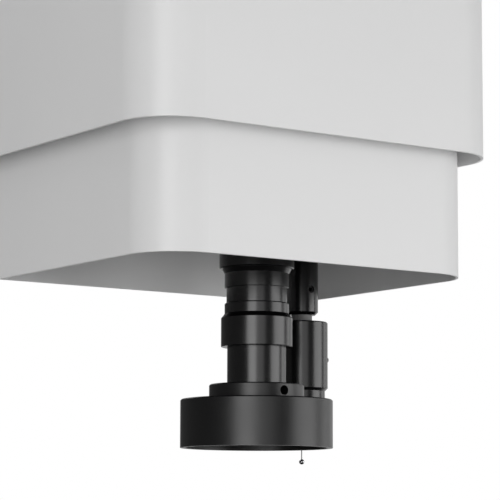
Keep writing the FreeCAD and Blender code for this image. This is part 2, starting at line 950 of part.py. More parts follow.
def lens_barrel():
    bore = barrel_bore / 2
    c = step_c_d / 2
    b = step_b_d / 2
    a = step_a_d / 2
    e = barrel_edge
    profile = [
        (bore, zoom_z),
        (zoom_journal_d / 2, zoom_z),
        (zoom_journal_d / 2, zoom_top),
        (c, zoom_top),
        (c, step_b_z - e),
        (c - e, step_b_z),
        (b, step_b_z),
        (b, step_a_z),
        (a - e / 2, step_a_z),
        (a, step_a_z + e / 2),
        (a, cone_z),
        (bore, cone_z),
    ]
    return turned(profile, 0, lens_y)


def zoom_ring():
    low = zoom_z + zoom_end_gap
    high = zoom_top - zoom_end_gap
    r = zoom_d / 2
    bore = zoom_journal_d / 2 + slide_fit
    profile = [
        (bore, low),
        (r - barrel_edge / 2, low),
        (r, low + barrel_edge / 2),
        (r, high - zoom_bevel),
        (r - zoom_bevel_depth, high),
        (bore, high),
    ]
    return turned(profile, 0, lens_y)


def lens_lower_tube():
    low = ring_z + lower_tube_end
    r = lower_tube_d / 2
    bore = lower_tube_bore / 2
    profile = [
        (bore - glass_lip, low),
        (r, low),
        (r, zoom_z),
        (barrel_bore / 2 - glass_lip, zoom_z),
        (barrel_bore / 2 - glass_lip, zoom_z - 2 * glass_lip),
        (bore, zoom_z - 2 * glass_lip),
        (bore, low + glass_lip),
        (bore - glass_lip, low + glass_lip),
    ]
    return turned(profile, 0, lens_y)


def objective_glass():
    seat = ring_z + lower_tube_end + glass_lip
    return rod(0, lens_y, seat, lower_tube_bore - 2 * glass_fit, objective_thick)


cell_z = zoom_z + cell_rest


def zoom_cell():
    outer = barrel_bore / 2 - slide_fit
    inner = cell_glass_d / 2
    lip = inner - glass_lip
    profile = [
        (lip, cell_z),
        (outer, cell_z),
        (outer, cell_z + cell_height),
        (inner, cell_z + cell_height),
        (inner, cell_z + glass_lip),
        (lip, cell_z + glass_lip),
    ]
    return turned(profile, 0, lens_y)


def cell_glass():
    return rod(0, lens_y, cell_z + glass_lip, cell_glass_d - 2 * glass_fit, cell_glass_thick)


def tube_glass():
    return rod(0, lens_y, upper_top - objective_thick, barrel_bore - 2 * glass_fit, objective_thick)


def coax_light():
    """Light that enters by the tube's port: a spigot, a round neck and a square body with cooling grooves."""
    z = clamp_z + coax_rise
    west = Vector(-1, 0, 0)
    tube_side = -upper_tube_d / 2
    neck_end = tube_side - coax_neck
    body_end = neck_end - coax_body_length
    half = coax_body / 2
    spigot = rod(tube_side + coax_spigot, lens_y, z, coax_spigot_d - 2 * seat_fit, coax_spigot, west)
    neck = rod(tube_side, lens_y, z, coax_d, coax_neck, west)
    body = box(body_end, neck_end, lens_y - half, lens_y + half, z - half, z + half)
    for i in range(coax_groove_count):
        x = body_end + (2 * i + 1) * coax_groove
        for side in (-1, 1):
            y0, y1 = sorted((lens_y + side * half, lens_y + side * (half - coax_groove_depth)))
            body = body.cut(box(x, x + coax_groove, y0, y1, z - half, z + half))
    return spigot.fuse(neck).fuse(body).removeSplitter()


def camera_adapter():
    r = adapter_d / 2
    flange = barrel_bore / 2 + adapter_step
    waist = r - adapter_step / 2
    profile = [
        (r / 2, upper_top),
        (flange, upper_top),
        (flange, upper_top + adapter_step),
        (waist, upper_top + adapter_step),
        (waist, upper_top + adapter_height - adapter_step),
        (r, upper_top + adapter_height - adapter_step),
        (r, upper_top + adapter_height),
        (r / 2, upper_top + adapter_height),
    ]
    return turned(profile, 0, lens_y)


def camera():
    z = upper_top + adapter_height + camera_height / 2
    half = camera_size / 2
    body = centred_box(0, camera_size, lens_y - half, lens_y + half, z, camera_height)
    body = body.makeFillet(camera_edge, [e for e in body.Edges if is_upright(e)])
    pitch = 2 * camera_fin_width
    for i in range(camera_fin_count):
        groove_z = camera_top() - camera_size / 2 + i * pitch - camera_fin_width
        for side in (-1, 1):
            x = side * (half - camera_fin_depth / 2)
            cut = centred_box(
                x, camera_fin_depth, lens_y - half, lens_y + half, groove_z, camera_fin_width
            )
            body = body.cut(cut)
    return body


# Ring light
def ring_light_housing():
    r = ring_d / 2
    hub = ring_hub_d / 2
    bore = lower_tube_d / 2 + slide_fit
    roof = ring_top - ring_roof
    profile = [
        (bore, ring_top - ring_hub_height),
        (hub, ring_top - ring_hub_height),
        (hub, roof),
        (r - ring_wall, roof),
        (r - ring_wall, ring_z + ring_lip_height),
        (r - ring_lip, ring_z + ring_lip_height),
        (r - ring_lip, ring_z),
        (r, ring_z),
        (r, ring_top - ring_edge),
        (r - ring_edge, ring_top),
        (bore, ring_top),
    ]
    return turned(profile, 0, lens_y)


def board_slope():
    return (board_high - board_low) / ((board_outer_d - board_inner_d) / 2)


def ring_light_board():
    rise = board_thick * hypot(1, board_slope())
    inner = board_inner_d / 2
    outer = board_outer_d / 2
    profile = [
        (inner, ring_z + board_high),
        (outer, ring_z + board_low),
        (outer, ring_z + board_low + rise),
        (inner, ring_z + board_high + rise),
    ]
    return turned(profile, 0, lens_y)


def ring_light_emitters():
    """Rows of light emitters on the board's lower face, aimed down and towards the lens axis."""
    lean = degrees(atan2(board_slope(), 1))
    pitch = (board_outer_d - board_inner_d) / 2 / emitter_rows
    emitters = []
    half = emitter_size / 2
    for row in range(emitter_rows):
        r = board_inner_d / 2 + (row + 0.5) * pitch
        z = ring_z + board_high - (row + 0.5) * pitch * board_slope()
        count = round(2 * pi * r / emitter_pitch)
        for i in range(count):
            emitter = box(-half, half, -half, half, -emitter_height - emitter_seat, -emitter_seat)
            emitter.rotate(Vector(0, 0, 0), Vector(0, 1, 0), lean)
            emitter.translate(Vector(r, 0, z))
            emitter.rotate(Vector(0, 0, 0), Vector(0, 0, 1), 360 * i / count)
            emitter.translate(Vector(0, lens_y, 0))
            emitters.append(emitter)
    return group(emitters)


ring_hole_z = ring_clamp_top - ring_clamp_hole_drop


def ring_light_collar():
    r = ring_clamp_d / 2
    bore = lower_tube_d / 2 + slide_fit
    e = ring_clamp_edge
    profile = [
        (bore, ring_top),
        (r, ring_top),
        (r, ring_clamp_top - e),
        (r - e, ring_clamp_top),
        (bore, ring_clamp_top),
    ]
    hole = rod(0, lens_y, ring_hole_z, ring_clamp_hole, ring_clamp_d, Vector(0, -1, 0))
    return turned(profile, 0, lens_y).cut(hole)


def ring_light_screw():
    tip = lens_y - lower_tube_d / 2 - slide_fit
    return set_screw(0, tip, ring_hole_z, ring_screw_d, ring_screw_length)


def set_screw(x, tip_y, z, d, length):
    forward = Vector(0, -1, 0)
    socket = rod(x, tip_y - length / 2, z, d / 2, length, forward)
    return rod(x, tip_y, z, d, length, forward).cut(socket)


# Touch probe
def probe_bracket():
    half = probe_bracket_width / 2
    x0 = probe_x - half
    x1 = probe_x + half - probe_bracket_thick / 2
    face = mount_y - probe_bracket_thick
    top = clamp_z + clamp_ring_height
    base = box(x0, x1, face, mount_y, clamp_z, clamp_z + probe_bracket_height)
    arm_half = probe_arm_width / 2
    arm = box(probe_x - arm_half, probe_x + arm_half, probe_y, face, clamp_z, top)
    bracket = base.fuse(arm).fuse(rod(probe_x, probe_y, clamp_z, probe_ring_d, clamp_ring_height))
    corners = [
        Vector(probe_x - arm_half / 2, face, top),
        Vector(probe_x - arm_half / 2, face, clamp_z + probe_bracket_height),
        Vector(probe_x - arm_half / 2, probe_y + probe_ring_d / 2, top),
    ]
    gusset = Part.Face(Part.makePolygon(corners + corners[:1])).extrude(Vector(arm_half, 0, 0))
    bore = rod(probe_x, probe_y, clamp_z, holder_d + 2 * shaft_fit, clamp_ring_height)
    split = clamp_split / 2
    slit = box(probe_x, probe_x + probe_ring_d, probe_y - split, probe_y + split, clamp_z, top)
    return bracket.fuse(gusset).cut(bore).cut(slit).removeSplitter()


def probe_holder():
    r = holder_d / 2
    bore = shank_d / 2 + shaft_fit
    profile = [
        (bore, holder_z),
        (r - holder_bevel, holder_z),
        (r, holder_z + holder_bevel),
        (r, holder_z + holder_length),
        (0, holder_z + holder_length),
        (0, holder_z + shank_length),
        (bore, holder_z + shank_length),
    ]
    z = holder_z + holder_hole_rise
    hole = rod(probe_x, probe_y, z, holder_hole, holder_d, Vector(0, -1, 0))
    return turned(profile, probe_x, probe_y).cut(hole)


def probe_set_screw():
    z = holder_z + holder_hole_rise
    tip = probe_y - shank_d / 2 - shaft_fit
    return set_screw(probe_x, tip, z, holder_hole - 2 * seat_fit, holder_screw_length)


def probe_shank():
    profile = [
        (0, body_top),
        (neck_d / 2, body_top),
        (neck_d / 2, holder_z),
        (shank_d / 2, holder_z),
        (shank_d / 2, holder_z + shank_length - shank_gap),
        (0, holder_z + shank_length - shank_gap),
    ]
    return turned(profile, probe_x, probe_y)


def dome_direction():
    angle = dome_angle * pi / 180
    return Vector(cos(angle), sin(angle), 0)


def probe_body():
    r = body_d / 2
    bore = body_bore / 2
    profile = [
        (bore, body_z),
        (r - body_bevel, body_z),
        (r, body_z + body_bevel),
        (r, body_top - body_edge),
        (r - body_edge, body_top),
        (0, body_top),
        (0, body_top - body_roof),
        (bore, body_top - body_roof),
    ]
    way = dome_direction()
    hole = rod(probe_x, probe_y, body_z + dome_rise, dome_d + 2 * seat_fit, body_d, way)
    return turned(profile, probe_x, probe_y).cut(hole)


def probe_indicator():
    way = dome_direction()
    start = Vector(probe_x, probe_y, body_z + dome_rise) + way * (body_bore / 2)
    stem = Part.makeCylinder(dome_d / 2, (body_d - body_bore) / 2, start, way)
    cap_r = (dome_d * dome_d / 4 + dome_proud * dome_proud) / (2 * dome_proud)
    centre = start + way * ((body_d - body_bore) / 2 + dome_proud - cap_r)
    cap = Part.makeSphere(cap_r, centre)
    long_stem = Part.makeCylinder(dome_d / 2, (body_d - body_bore) / 2 + 2 * dome_proud, start, way)
    return stem.fuse(long_stem.common(cap)).removeSplitter()


def probe_nose():
    """Nose with a mouth wide enough for the raised stylus tilted about both of its axes."""
    r = nose_d / 2
    spigot = body_bore / 2 - slide_fit
    inner = spigot - nose_wall
    seat_bottom = seat_z - nose_wall
    profile = [
        (nose_mouth_r, nose_z),
        (nose_mouth_r + nose_rim, nose_z),
        (r, ring_z + nose_straight),
        (r, body_z),
        (spigot, body_z),
        (spigot, body_z + nose_spigot),
        (inner, body_z + nose_spigot),
        (inner, seat_z),
        (seat_bore / 2, seat_z),
        (seat_bore / 2, seat_bottom),
        (nose_mouth_r, seat_bottom),
    ]
    return turned(profile, probe_x, probe_y)


def plunger_radius():
    return body_bore / 2 - slide_fit - nose_wall - plunger_fit


def probe_plunger():
    """Ring that rises off its seat when the stylus is pushed up, with the gimbal's two fixed pins."""
    outer = plunger_radius()
    inner = outer - plunger_wall
    ring = tube(probe_x, probe_y, seat_z, seat_z + plunger_height, 2 * outer, 2 * inner)
    for side in (-1, 1):
        start = Vector(probe_x + side * (gimbal_d / 2 - gimbal_wall + plunger_fit), probe_y, gimbal_z)
        reach = outer - plunger_wall / 2 - (gimbal_d / 2 - gimbal_wall + plunger_fit)
        ring = ring.fuse(Part.makeCylinder(pin_d / 2, reach, start, Vector(side, 0, 0)))
    return ring.removeSplitter()


def gimbal_ring():
    low = gimbal_z - gimbal_height / 2
    ring = tube(probe_x, probe_y, low, low + gimbal_height, gimbal_d, gimbal_d - 2 * gimbal_wall)
    bore = pin_d + 2 * slide_fit
    ring = ring.cut(rod(probe_x - gimbal_d, probe_y, gimbal_z, bore, 2 * gimbal_d, Vector(1, 0, 0)))
    return ring.cut(rod(probe_x, probe_y - gimbal_d, gimbal_z, bore, 2 * gimbal_d, Vector(0, 1, 0)))


def stylus_carrier():
    low = gimbal_z - gimbal_height / 2
    hub = rod(probe_x, probe_y, low, hub_d, gimbal_height)
    neck = rod(probe_x, probe_y, carrier_z, carrier_neck_d, low - carrier_z)
    start = probe_y - gimbal_d / 2 + plunger_fit
    pins = rod(probe_x, start, gimbal_z, pin_d, gimbal_d - 2 * plunger_fit, Vector(0, 1, 0))
    return hub.fuse(neck).fuse(pins).removeSplitter()


def stylus():
    head_low = carrier_z - stylus_head
    tip = ball_z + ball_d / 2
    profile = [
        (0, tip),
        (stem_d / 2, tip),
        (stem_d / 2, head_low - stylus_taper),
        (stylus_head_d / 2, head_low),
        (stylus_head_d / 2, carrier_z),
        (0, carrier_z),
    ]
    return turned(profile, probe_x, probe_y)


def stylus_ball():
    return Part.makeSphere(ball_d / 2, Vector(probe_x, probe_y, ball_z))


os.makedirs("parts", exist_ok=True)

# Fixed to the column
save("column_casting", column_casting())
save("guide_rails", group([guide_rail(-rail_spacing / 2), guide_rail(rail_spacing / 2)]))
save("cable_grommet", cable_grommet())
save("screw_support_lower", screw_support(lower_support_z, False))
save("screw_support_upper", screw_support(upper_support_z, True))
save("screw_bearings", group([bearing(lower_support_z), bearing(upper_support_top - bearing_width)]))
save("motor_bracket", motor_bracket())
save("z_motor", z_motor())
save("motor_brake", motor_brake())
save("end_buffers", end_buffers())
save("linear_scale", linear_scale())
upper_sensor_z = carriage_z + travel_up
lower_sensor_z = carriage_z - travel_down
save("limit_sensors", group([limit_sensor(upper_sensor_z), limit_sensor(lower_sensor_z)]))
save("outer_cover", outer_cover())
save("outer_top_cover", outer_top_cover())
save("cover_brackets", cover_brackets())
save("cover_screws", cover_screws())

# Turning with the screw
save("ball_screw", ball_screw())
save("screw_locknut", screw_locknut())
save("coupling_hubs", group([coupling_hub(coupling_z, 0), coupling_hub(upper_hub_z, 180 / jaw_count)]))
save("coupling_spider", coupling_spider())
save("motor_shaft", motor_shaft())

# Riding on the carriage
block_places = [
    (x, z)
    for x in (-rail_spacing / 2, rail_spacing / 2)
    for z in (carriage_z - block_spacing / 2, carriage_z + block_spacing / 2)
]
save("guide_blocks", group([guide_block(x, z) for x, z in block_places]))
save("block_end_caps", group([cap for x, z in block_places for cap in block_cap_pair(x, z)]))
save("carriage_plate", carriage_plate())
save("head_plate", head_plate())
save("ball_nut", ball_nut())
save("nut_bracket", nut_bracket())
save("scale_reader", scale_reader())
save("limit_flag", limit_flag())
save("inner_cover", inner_cover())
save("inner_back_panel", inner_back_panel())
save("dust_plate", dust_plate())
save("lens_bracket", lens_bracket())
save("lens_clamp_cap", lens_clamp_cap())
save("lens_clamp_screws", lens_clamp_screws())
save("lens_upper_tube", lens_upper_tube())
save("lens_barrel", lens_barrel())
save("lens_lower_tube", lens_lower_tube())
save("lens_glasses", group([objective_glass(), tube_glass()]))
save("coax_light", coax_light())
save("camera_adapter", camera_adapter())
save("camera", camera())
save("probe_bracket", probe_bracket())
save("probe_holder", probe_holder())
save("probe_set_screw", probe_set_screw())
save("probe_shank", probe_shank())
save("probe_body", probe_body())
save("probe_indicator", probe_indicator())
save("probe_nose", probe_nose())

# Moving on the carriage
save("zoom_ring", zoom_ring())
save("zoom_cell", group([zoom_cell(), cell_glass()]))
save("ring_light_housing", ring_light_housing())
save("ring_light_collar", ring_light_collar())
save("ring_light_board", ring_light_board())
save("ring_light_emitters", ring_light_emitters())
save("ring_light_screw", ring_light_screw())
save("probe_plunger", probe_plunger())
save("gimbal_ring", gimbal_ring())
save("stylus", group([stylus_carrier(), stylus()]))
save("stylus_ball", stylus_ball())
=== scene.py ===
import json
from math import cos, pi, radians, sin, sqrt

import bmesh
import bpy
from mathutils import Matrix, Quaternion, Vector


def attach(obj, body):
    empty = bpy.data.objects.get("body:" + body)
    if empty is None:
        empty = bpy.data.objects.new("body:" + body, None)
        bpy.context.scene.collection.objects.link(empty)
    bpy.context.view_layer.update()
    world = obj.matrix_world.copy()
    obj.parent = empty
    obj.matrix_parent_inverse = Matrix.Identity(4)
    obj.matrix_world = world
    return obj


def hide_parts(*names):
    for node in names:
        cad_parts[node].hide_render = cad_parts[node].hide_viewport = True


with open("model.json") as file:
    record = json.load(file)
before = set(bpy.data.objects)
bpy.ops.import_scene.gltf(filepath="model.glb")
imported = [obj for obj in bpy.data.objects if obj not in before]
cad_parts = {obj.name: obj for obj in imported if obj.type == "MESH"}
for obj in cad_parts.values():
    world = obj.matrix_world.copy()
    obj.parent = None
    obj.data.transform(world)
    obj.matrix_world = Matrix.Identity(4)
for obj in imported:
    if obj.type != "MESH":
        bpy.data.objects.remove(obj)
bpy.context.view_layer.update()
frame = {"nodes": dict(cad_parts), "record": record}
cadNodes = frame["nodes"]


# Camera, at the place from which the head is seen from below and from the left
photoView = {
    "place": (-0.9168, -1.5344, -0.5057),
    "azimuth": -34.949,
    "elevation": -7.365,
    "roll": 0.168,
    "lens": 158.95,
    "clipStart": 0.05,
    "clipEnd": 60.0,
}


def addCamera(view):
    turn = radians(view["azimuth"])
    rise = radians(view["elevation"])
    back = Vector((sin(turn) * cos(rise), -cos(turn) * cos(rise), sin(rise)))
    camera = bpy.data.cameras.new("photoCamera")
    camera.lens = view["lens"]
    camera.clip_start = view["clipStart"]
    camera.clip_end = view["clipEnd"]
    holder = bpy.data.objects.new("photoCamera", camera)
    holder.location = view["place"]
    holder.rotation_mode = "QUATERNION"
    lean = Quaternion((0, 0, 1), radians(view["roll"]))
    holder.rotation_quaternion = (-back).to_track_quat("-Z", "Y") @ lean
    bpy.context.scene.collection.objects.link(holder)
    bpy.context.scene.camera = holder


addCamera(photoView)
print("camera: placed")


# Node helpers
def addNode(tree, kind, inputs=None, **settings):
    node = tree.nodes.new(kind)
    for key, value in settings.items():
        setattr(node, key, value)
    for key, value in (inputs or {}).items():
        if isinstance(value, bpy.types.NodeSocket):
            tree.links.new(value, node.inputs[key])
        else:
            node.inputs[key].default_value = value
    return node


def addMath(tree, operation, *values, clamp=False):
    inputs = dict(enumerate(values))
    return addNode(tree, "ShaderNodeMath", inputs, operation=operation, use_clamp=clamp).outputs[0]


def addVectorMath(tree, operation, *values):
    node = addNode(tree, "ShaderNodeVectorMath", dict(enumerate(values)), operation=operation)
    return node.outputs["Value" if operation == "DOT_PRODUCT" else "Vector"]


def addRange(tree, value, source, target=(0.0, 1.0)):  # a value brought from one span to another
    spans = {"From Min": source[0], "From Max": source[1], "To Min": target[0], "To Max": target[1]}
    return addNode(tree, "ShaderNodeMapRange", {"Value": value, **spans}).outputs[0]


def addNoise(tree, place, scale, detail):
    inputs = {"Vector": place, "Scale": scale, "Detail": detail}
    return addNode(tree, "ShaderNodeTexNoise", inputs).outputs["Fac"]


def addGroup(tree, group, **inputs):
    return addNode(tree, "ShaderNodeGroup", inputs, node_tree=group).outputs


def heightOf(tree, place):
    return addNode(tree, "ShaderNodeSeparateXYZ", {0: place}).outputs["Z"]


def objectPlace(tree):
    return addNode(tree, "ShaderNodeTexCoord").outputs["Object"]


def surfaceNormal(tree):
    return addNode(tree, "ShaderNodeNewGeometry").outputs["Normal"]


def mixColours(tree, share, first, second):
    return addNode(tree, "ShaderNodeMix", {0: share, 6: first, 7: second}, data_type="RGBA").outputs[2]


def newGroup(name, kind, inputs, outputs):
    tree = bpy.data.node_groups.new(name, kind)
    for label, socketType, value in inputs:
        socket = tree.interface.new_socket(label, in_out="INPUT", socket_type=socketType)
        if value is not None:
            socket.default_value = value
    for label, socketType in outputs:
        tree.interface.new_socket(label, in_out="OUTPUT", socket_type=socketType)
    return tree, tree.nodes.new("NodeGroupInput").outputs, tree.nodes.new("NodeGroupOutput").inputs


# Kinds of socket
number = "NodeSocketFloat"
integer = "NodeSocketInt"
colour = "NodeSocketColor"
vector = "NodeSocketVector"
geometry = "NodeSocketGeometry"
materialKind = "NodeSocketMaterial"

# Shared shader groups, with the spans in which their noise, bend and facing count
cloudSpan = (0.3, 0.7)
wearSpans = {"bend": (0.02, 0.16), "broken": (0.45, 0.62), "rounded": (0.008, 0.03)}
dustSpans = {"facing": (0.5, 1.0), "patch": (0.4, 0.7)}
inwardSpan = (-0.05, -0.2)
coarseScale = 0.18  # scale of the grain's long waves against its own
markStretch = (0.004, 0.004, 1.0)  # tool marks run level, so they change with height
dustColour = (0.42, 0.40, 0.37, 1)
dustRoughness = 0.9


def makeMottle():  # cloudy change of a colour
    tree, given, result = newGroup(
        "mottle",
        "ShaderNodeTree",
        [("Color", colour, (0.5, 0.5, 0.5, 1)), ("Amount", number, 0.05), ("Scale", number, 20.0)],
        [("Color", colour), ("Mask", number)],
    )
    mask = addNoise(tree, objectPlace(tree), given["Scale"], 4.0)
    low = addMath(tree, "SUBTRACT", 1.0, given["Amount"])
    high = addMath(tree, "ADD", 1.0, given["Amount"])
    inputs = {0: given["Color"], "Scale": addRange(tree, mask, cloudSpan, (low, high))}
    scaled = addNode(tree, "ShaderNodeVectorMath", inputs, operation="SCALE")
    tree.links.new(scaled.outputs[0], result["Color"])
    tree.links.new(mask, result["Mask"])
    return tree


def makeGrain():  # fine uneven surface of a coat, a casting or a moulding
    tree, given, result = newGroup(
        "grain",
        "ShaderNodeTree",
        [("Scale", number, 900.0), ("Coarse", number, 0.3)],
        [("Height", number)],
    )
    place = objectPlace(tree)
    fine = addNoise(tree, place, given["Scale"], 3.0)
    broad = addNoise(tree, place, addMath(tree, "MULTIPLY", given["Scale"], coarseScale), 1.0)
    share = addMath(tree, "MULTIPLY", broad, given["Coarse"])
    tree.links.new(addMath(tree, "ADD", fine, share), result["Height"])
    return tree


def makeTurning():  # tool marks round an upright turned piece
    tree, given, result = newGroup(
        "turning",
        "ShaderNodeTree",
        [("Pitch", number, 2500.0)],
        [("Height", number)],
    )
    flat = addVectorMath(tree, "MULTIPLY", objectPlace(tree), markStretch)
    tree.links.new(addNoise(tree, flat, given["Pitch"], 2.0), result["Height"])
    return tree


def makeEdgeWear():  # mask of worn outer edges, and a normal that rounds them
    tree, given, result = newGroup(
        "edgeWear",
        "ShaderNodeTree",
        [("Radius", number, 0.0004), ("Rounding", number, 1.0), ("Amount", number, 1.0),
         ("Scale", number, 160.0)],
        [("Mask", number), ("Normal", vector)],
    )
    rounded = addNode(tree, "ShaderNodeBevel", {"Radius": given["Radius"]}, samples=6).outputs[0]
    plain = surfaceNormal(tree)
    bend = addMath(tree, "SUBTRACT", 1.0, addVectorMath(tree, "DOT_PRODUCT", rounded, plain))
    edge = addRange(tree, bend, wearSpans["bend"])
    noise = addNoise(tree, objectPlace(tree), given["Scale"], 5.0)
    worn = addMath(tree, "MULTIPLY", edge, addRange(tree, noise, wearSpans["broken"]))
    tree.links.new(addMath(tree, "MULTIPLY", worn, given["Amount"], clamp=True), result["Mask"])
    near = addRange(tree, bend, wearSpans["rounded"])
    share = addMath(tree, "MULTIPLY", near, given["Rounding"])
    inputs = {0: share, 4: plain, 5: rounded}
    normal = addNode(tree, "ShaderNodeMix", inputs, data_type="VECTOR").outputs[1]
    tree.links.new(normal, result["Normal"])
    return tree


def makeDust():  # thin film of dust on faces that look up
    tree, given, result = newGroup(
        "dust",
        "ShaderNodeTree",
        [("Amount", number, 0.3), ("Scale", number, 45.0)],
        [("Mask", number)],
    )
    facing = addRange(tree, heightOf(tree, surfaceNormal(tree)), dustSpans["facing"])
    noise = addNoise(tree, objectPlace(tree), given["Scale"], 6.0)
    film = addMath(tree, "MULTIPLY", facing, addRange(tree, noise, dustSpans["patch"]))
    tree.links.new(addMath(tree, "MULTIPLY", film, given["Amount"], clamp=True), result["Mask"])
    return tree


def makeInsideShadeMask():  # mask of the faces that look inwards, towards an upright axis, where shade is painted
    tree, given, result = newGroup(
        "insideShadeMask",
        "ShaderNodeTree",
        [("Centre", vector, (0.0, -0.2, 0.0))],
        [("Mask", number)],
    )
    away = addVectorMath(tree, "SUBTRACT", objectPlace(tree), given["Centre"])
    level = addVectorMath(tree, "MULTIPLY", away, (1.0, 1.0, 0.0))
    outward = addVectorMath(tree, "NORMALIZE", level)
    dot = addVectorMath(tree, "DOT_PRODUCT", outward, surfaceNormal(tree))
    tree.links.new(addRange(tree, dot, inwardSpan), result["Mask"])
    return tree


mottle = makeMottle()
insideShadeMask = makeInsideShadeMask()
grain = makeGrain()
turning = makeTurning()
edgeWear = makeEdgeWear()
dust = makeDust()


def rgb(red, green=None, blue=None):  # linear colour of a display colour from 0 to 255
    levels = (red, red if green is None else green, red if blue is None else blue)
    linear = [(v / 255 / 12.92) if v <= 10 else ((v / 255 + 0.055) / 1.055) ** 2.4 for v in levels]
    return (*linear, 1)


def finish(name, look, pattern=grain):  # cloudy colour, surface pattern, worn edges, a little dust, and painted shade on inward faces where the look asks for it
    material = bpy.data.materials.new(name)
    material.use_nodes = True
    tree = material.node_tree
    shader = tree.nodes["Principled BSDF"]
    cloud = addGroup(tree, mottle, Color=look["colour"], Amount=look["mottle"], Scale=look["mottleScale"])
    wear = addGroup(
        tree, edgeWear, Radius=look["edge"], Rounding=look.get("rounding", 1.0),
        Amount=look["wear"], Scale=look["wearScale"],
    )
    film = addGroup(tree, dust, Amount=look["dust"])
    worn = mixColours(tree, wear["Mask"], cloud["Color"], look["wornColour"])
    # Painted shade: faces that look inwards take a darker colour
    if "insideShadeColour" in look:
        inside = addGroup(tree, insideShadeMask)
        worn = mixColours(tree, inside["Mask"], worn, look["insideShadeColour"])
    tree.links.new(mixColours(tree, film["Mask"], worn, dustColour), shader.inputs["Base Color"])
    span = look["roughnessSpan"]
    rough = addRange(tree, cloud["Mask"], cloudSpan, (look["roughness"] - span, look["roughness"] + span))
    dusty = addMath(tree, "MAXIMUM", rough, addMath(tree, "MULTIPLY", film["Mask"], dustRoughness))
    tree.links.new(dusty, shader.inputs["Roughness"])
    shader.inputs["Metallic"].default_value = look.get("metallic", 0.0)
    shader.inputs["Specular IOR Level"].default_value = look.get("specular", 0.5)
    for socket, value in look.get("sockets", {}).items():
        shader.inputs[socket].default_value = value
    surface = addGroup(tree, pattern, **look["surface"])
    bump = addNode(tree, "ShaderNodeBump", {
        "Strength": look["bump"], "Distance": look["bumpDepth"],
        "Height": surface["Height"], "Normal": wear["Normal"],
    })
    tree.links.new(bump.outputs[0], shader.inputs["Normal"])
    return material


coverPaintLook = {
    "colour": rgb(231), "mottle": 0.008, "mottleScale": 9.0,
    "roughness": 0.36, "roughnessSpan": 0.03, "specular": 0.45,
    "surface": {"Scale": 1400.0, "Coarse": 0.8}, "bump": 0.16, "bumpDepth": 0.00012,
    "edge": 0.0007, "wear": 0.04, "wearScale": 90.0, "wornColour": rgb(236), "dust": 0.05,
}
anodisedLook = {
    "colour": rgb(7, 7, 8), "mottle": 0.05, "mottleScale": 60.0,
    "roughness": 0.25, "roughnessSpan": 0.015, "specular": 0.75,
    "surface": {"Pitch": 3600.0}, "bump": 0.05, "bumpDepth": 0.00003,
    "edge": 0.0005, "rounding": 0.0, "dust": 0.0,
    "wear": 0.6, "wearScale": 300.0, "wornColour": rgb(96, 96, 98),
}
blastedLook = {
    "colour": rgb(9, 9, 10), "mottle": 0.05, "mottleScale": 45.0,
    "roughness": 0.36, "roughnessSpan": 0.02, "specular": 0.64,
    "surface": {"Scale": 2600.0, "Coarse": 0.2}, "bump": 0.16, "bumpDepth": 0.00004,
    "edge": 0.0004, "rounding": 0.0, "dust": 0.0,
    "wear": 0.35, "wearScale": 260.0, "wornColour": rgb(80, 80, 82),
}
milledLook = {
    "colour": rgb(188, 190, 192), "mottle": 0.03, "mottleScale": 30.0,
    "roughness": 0.34, "roughnessSpan": 0.05, "metallic": 1.0,
    "surface": {"Scale": 1100.0, "Coarse": 0.4}, "bump": 0.12, "bumpDepth": 0.00006,
    "edge": 0.0003, "wear": 0.3, "wearScale": 200.0, "wornColour": rgb(214), "dust": 0.15,
}
groundLook = {
    "colour": rgb(168, 168, 167), "mottle": 0.03, "mottleScale": 70.0,
    "roughness": 0.24, "roughnessSpan": 0.05, "metallic": 1.0,
    "surface": {"Pitch": 5200.0}, "bump": 0.10, "bumpDepth": 0.00003,
    "edge": 0.0002, "wear": 0.2, "wearScale": 400.0, "wornColour": rgb(200), "dust": 0.05,
}
zincLook = {
    "colour": rgb(170, 174, 179), "mottle": 0.03, "mottleScale": 60.0,
    "roughness": 0.40, "roughnessSpan": 0.03, "metallic": 0.7,
    "surface": {"Scale": 1800.0, "Coarse": 0.3}, "bump": 0.06, "bumpDepth": 0.00003,
    "edge": 0.0002, "wear": 0.15, "wearScale": 300.0, "wornColour": rgb(205), "dust": 0.05,
}
castingLook = {
    "colour": rgb(118, 123, 126), "mottle": 0.07, "mottleScale": 14.0,
    "roughness": 0.55, "roughnessSpan": 0.06,
    "surface": {"Scale": 420.0, "Coarse": 0.9}, "bump": 0.22, "bumpDepth": 0.0002,
    "edge": 0.0012, "wear": 0.35, "wearScale": 110.0, "wornColour": rgb(165, 167, 168), "dust": 0.25,
}
motorLook = {
    "colour": rgb(34, 35, 37), "mottle": 0.05, "mottleScale": 50.0,
    "roughness": 0.38, "roughnessSpan": 0.05,
    "surface": {"Scale": 1200.0, "Coarse": 0.6}, "bump": 0.25, "bumpDepth": 0.0001,
    "edge": 0.0004, "wear": 0.3, "wearScale": 220.0, "wornColour": rgb(96), "dust": 0.3,
}
mouldedLook = {
    "colour": rgb(32, 32, 33), "mottle": 0.05, "mottleScale": 80.0,
    "roughness": 0.52, "roughnessSpan": 0.05,
    "surface": {"Scale": 1600.0, "Coarse": 0.3}, "bump": 0.3, "bumpDepth": 0.00008,
    "edge": 0.0003, "wear": 0.1, "wearScale": 200.0, "wornColour": rgb(70), "dust": 0.25,
}
rubberLook = {
    "colour": rgb(28, 28, 28), "mottle": 0.08, "mottleScale": 90.0,
    "roughness": 0.74, "roughnessSpan": 0.05, "specular": 0.3,
    "surface": {"Scale": 900.0, "Coarse": 0.5}, "bump": 0.3, "bumpDepth": 0.0001,
    "edge": 0.0005, "wear": 0.05, "wearScale": 150.0, "wornColour": rgb(60), "dust": 0.35,
}
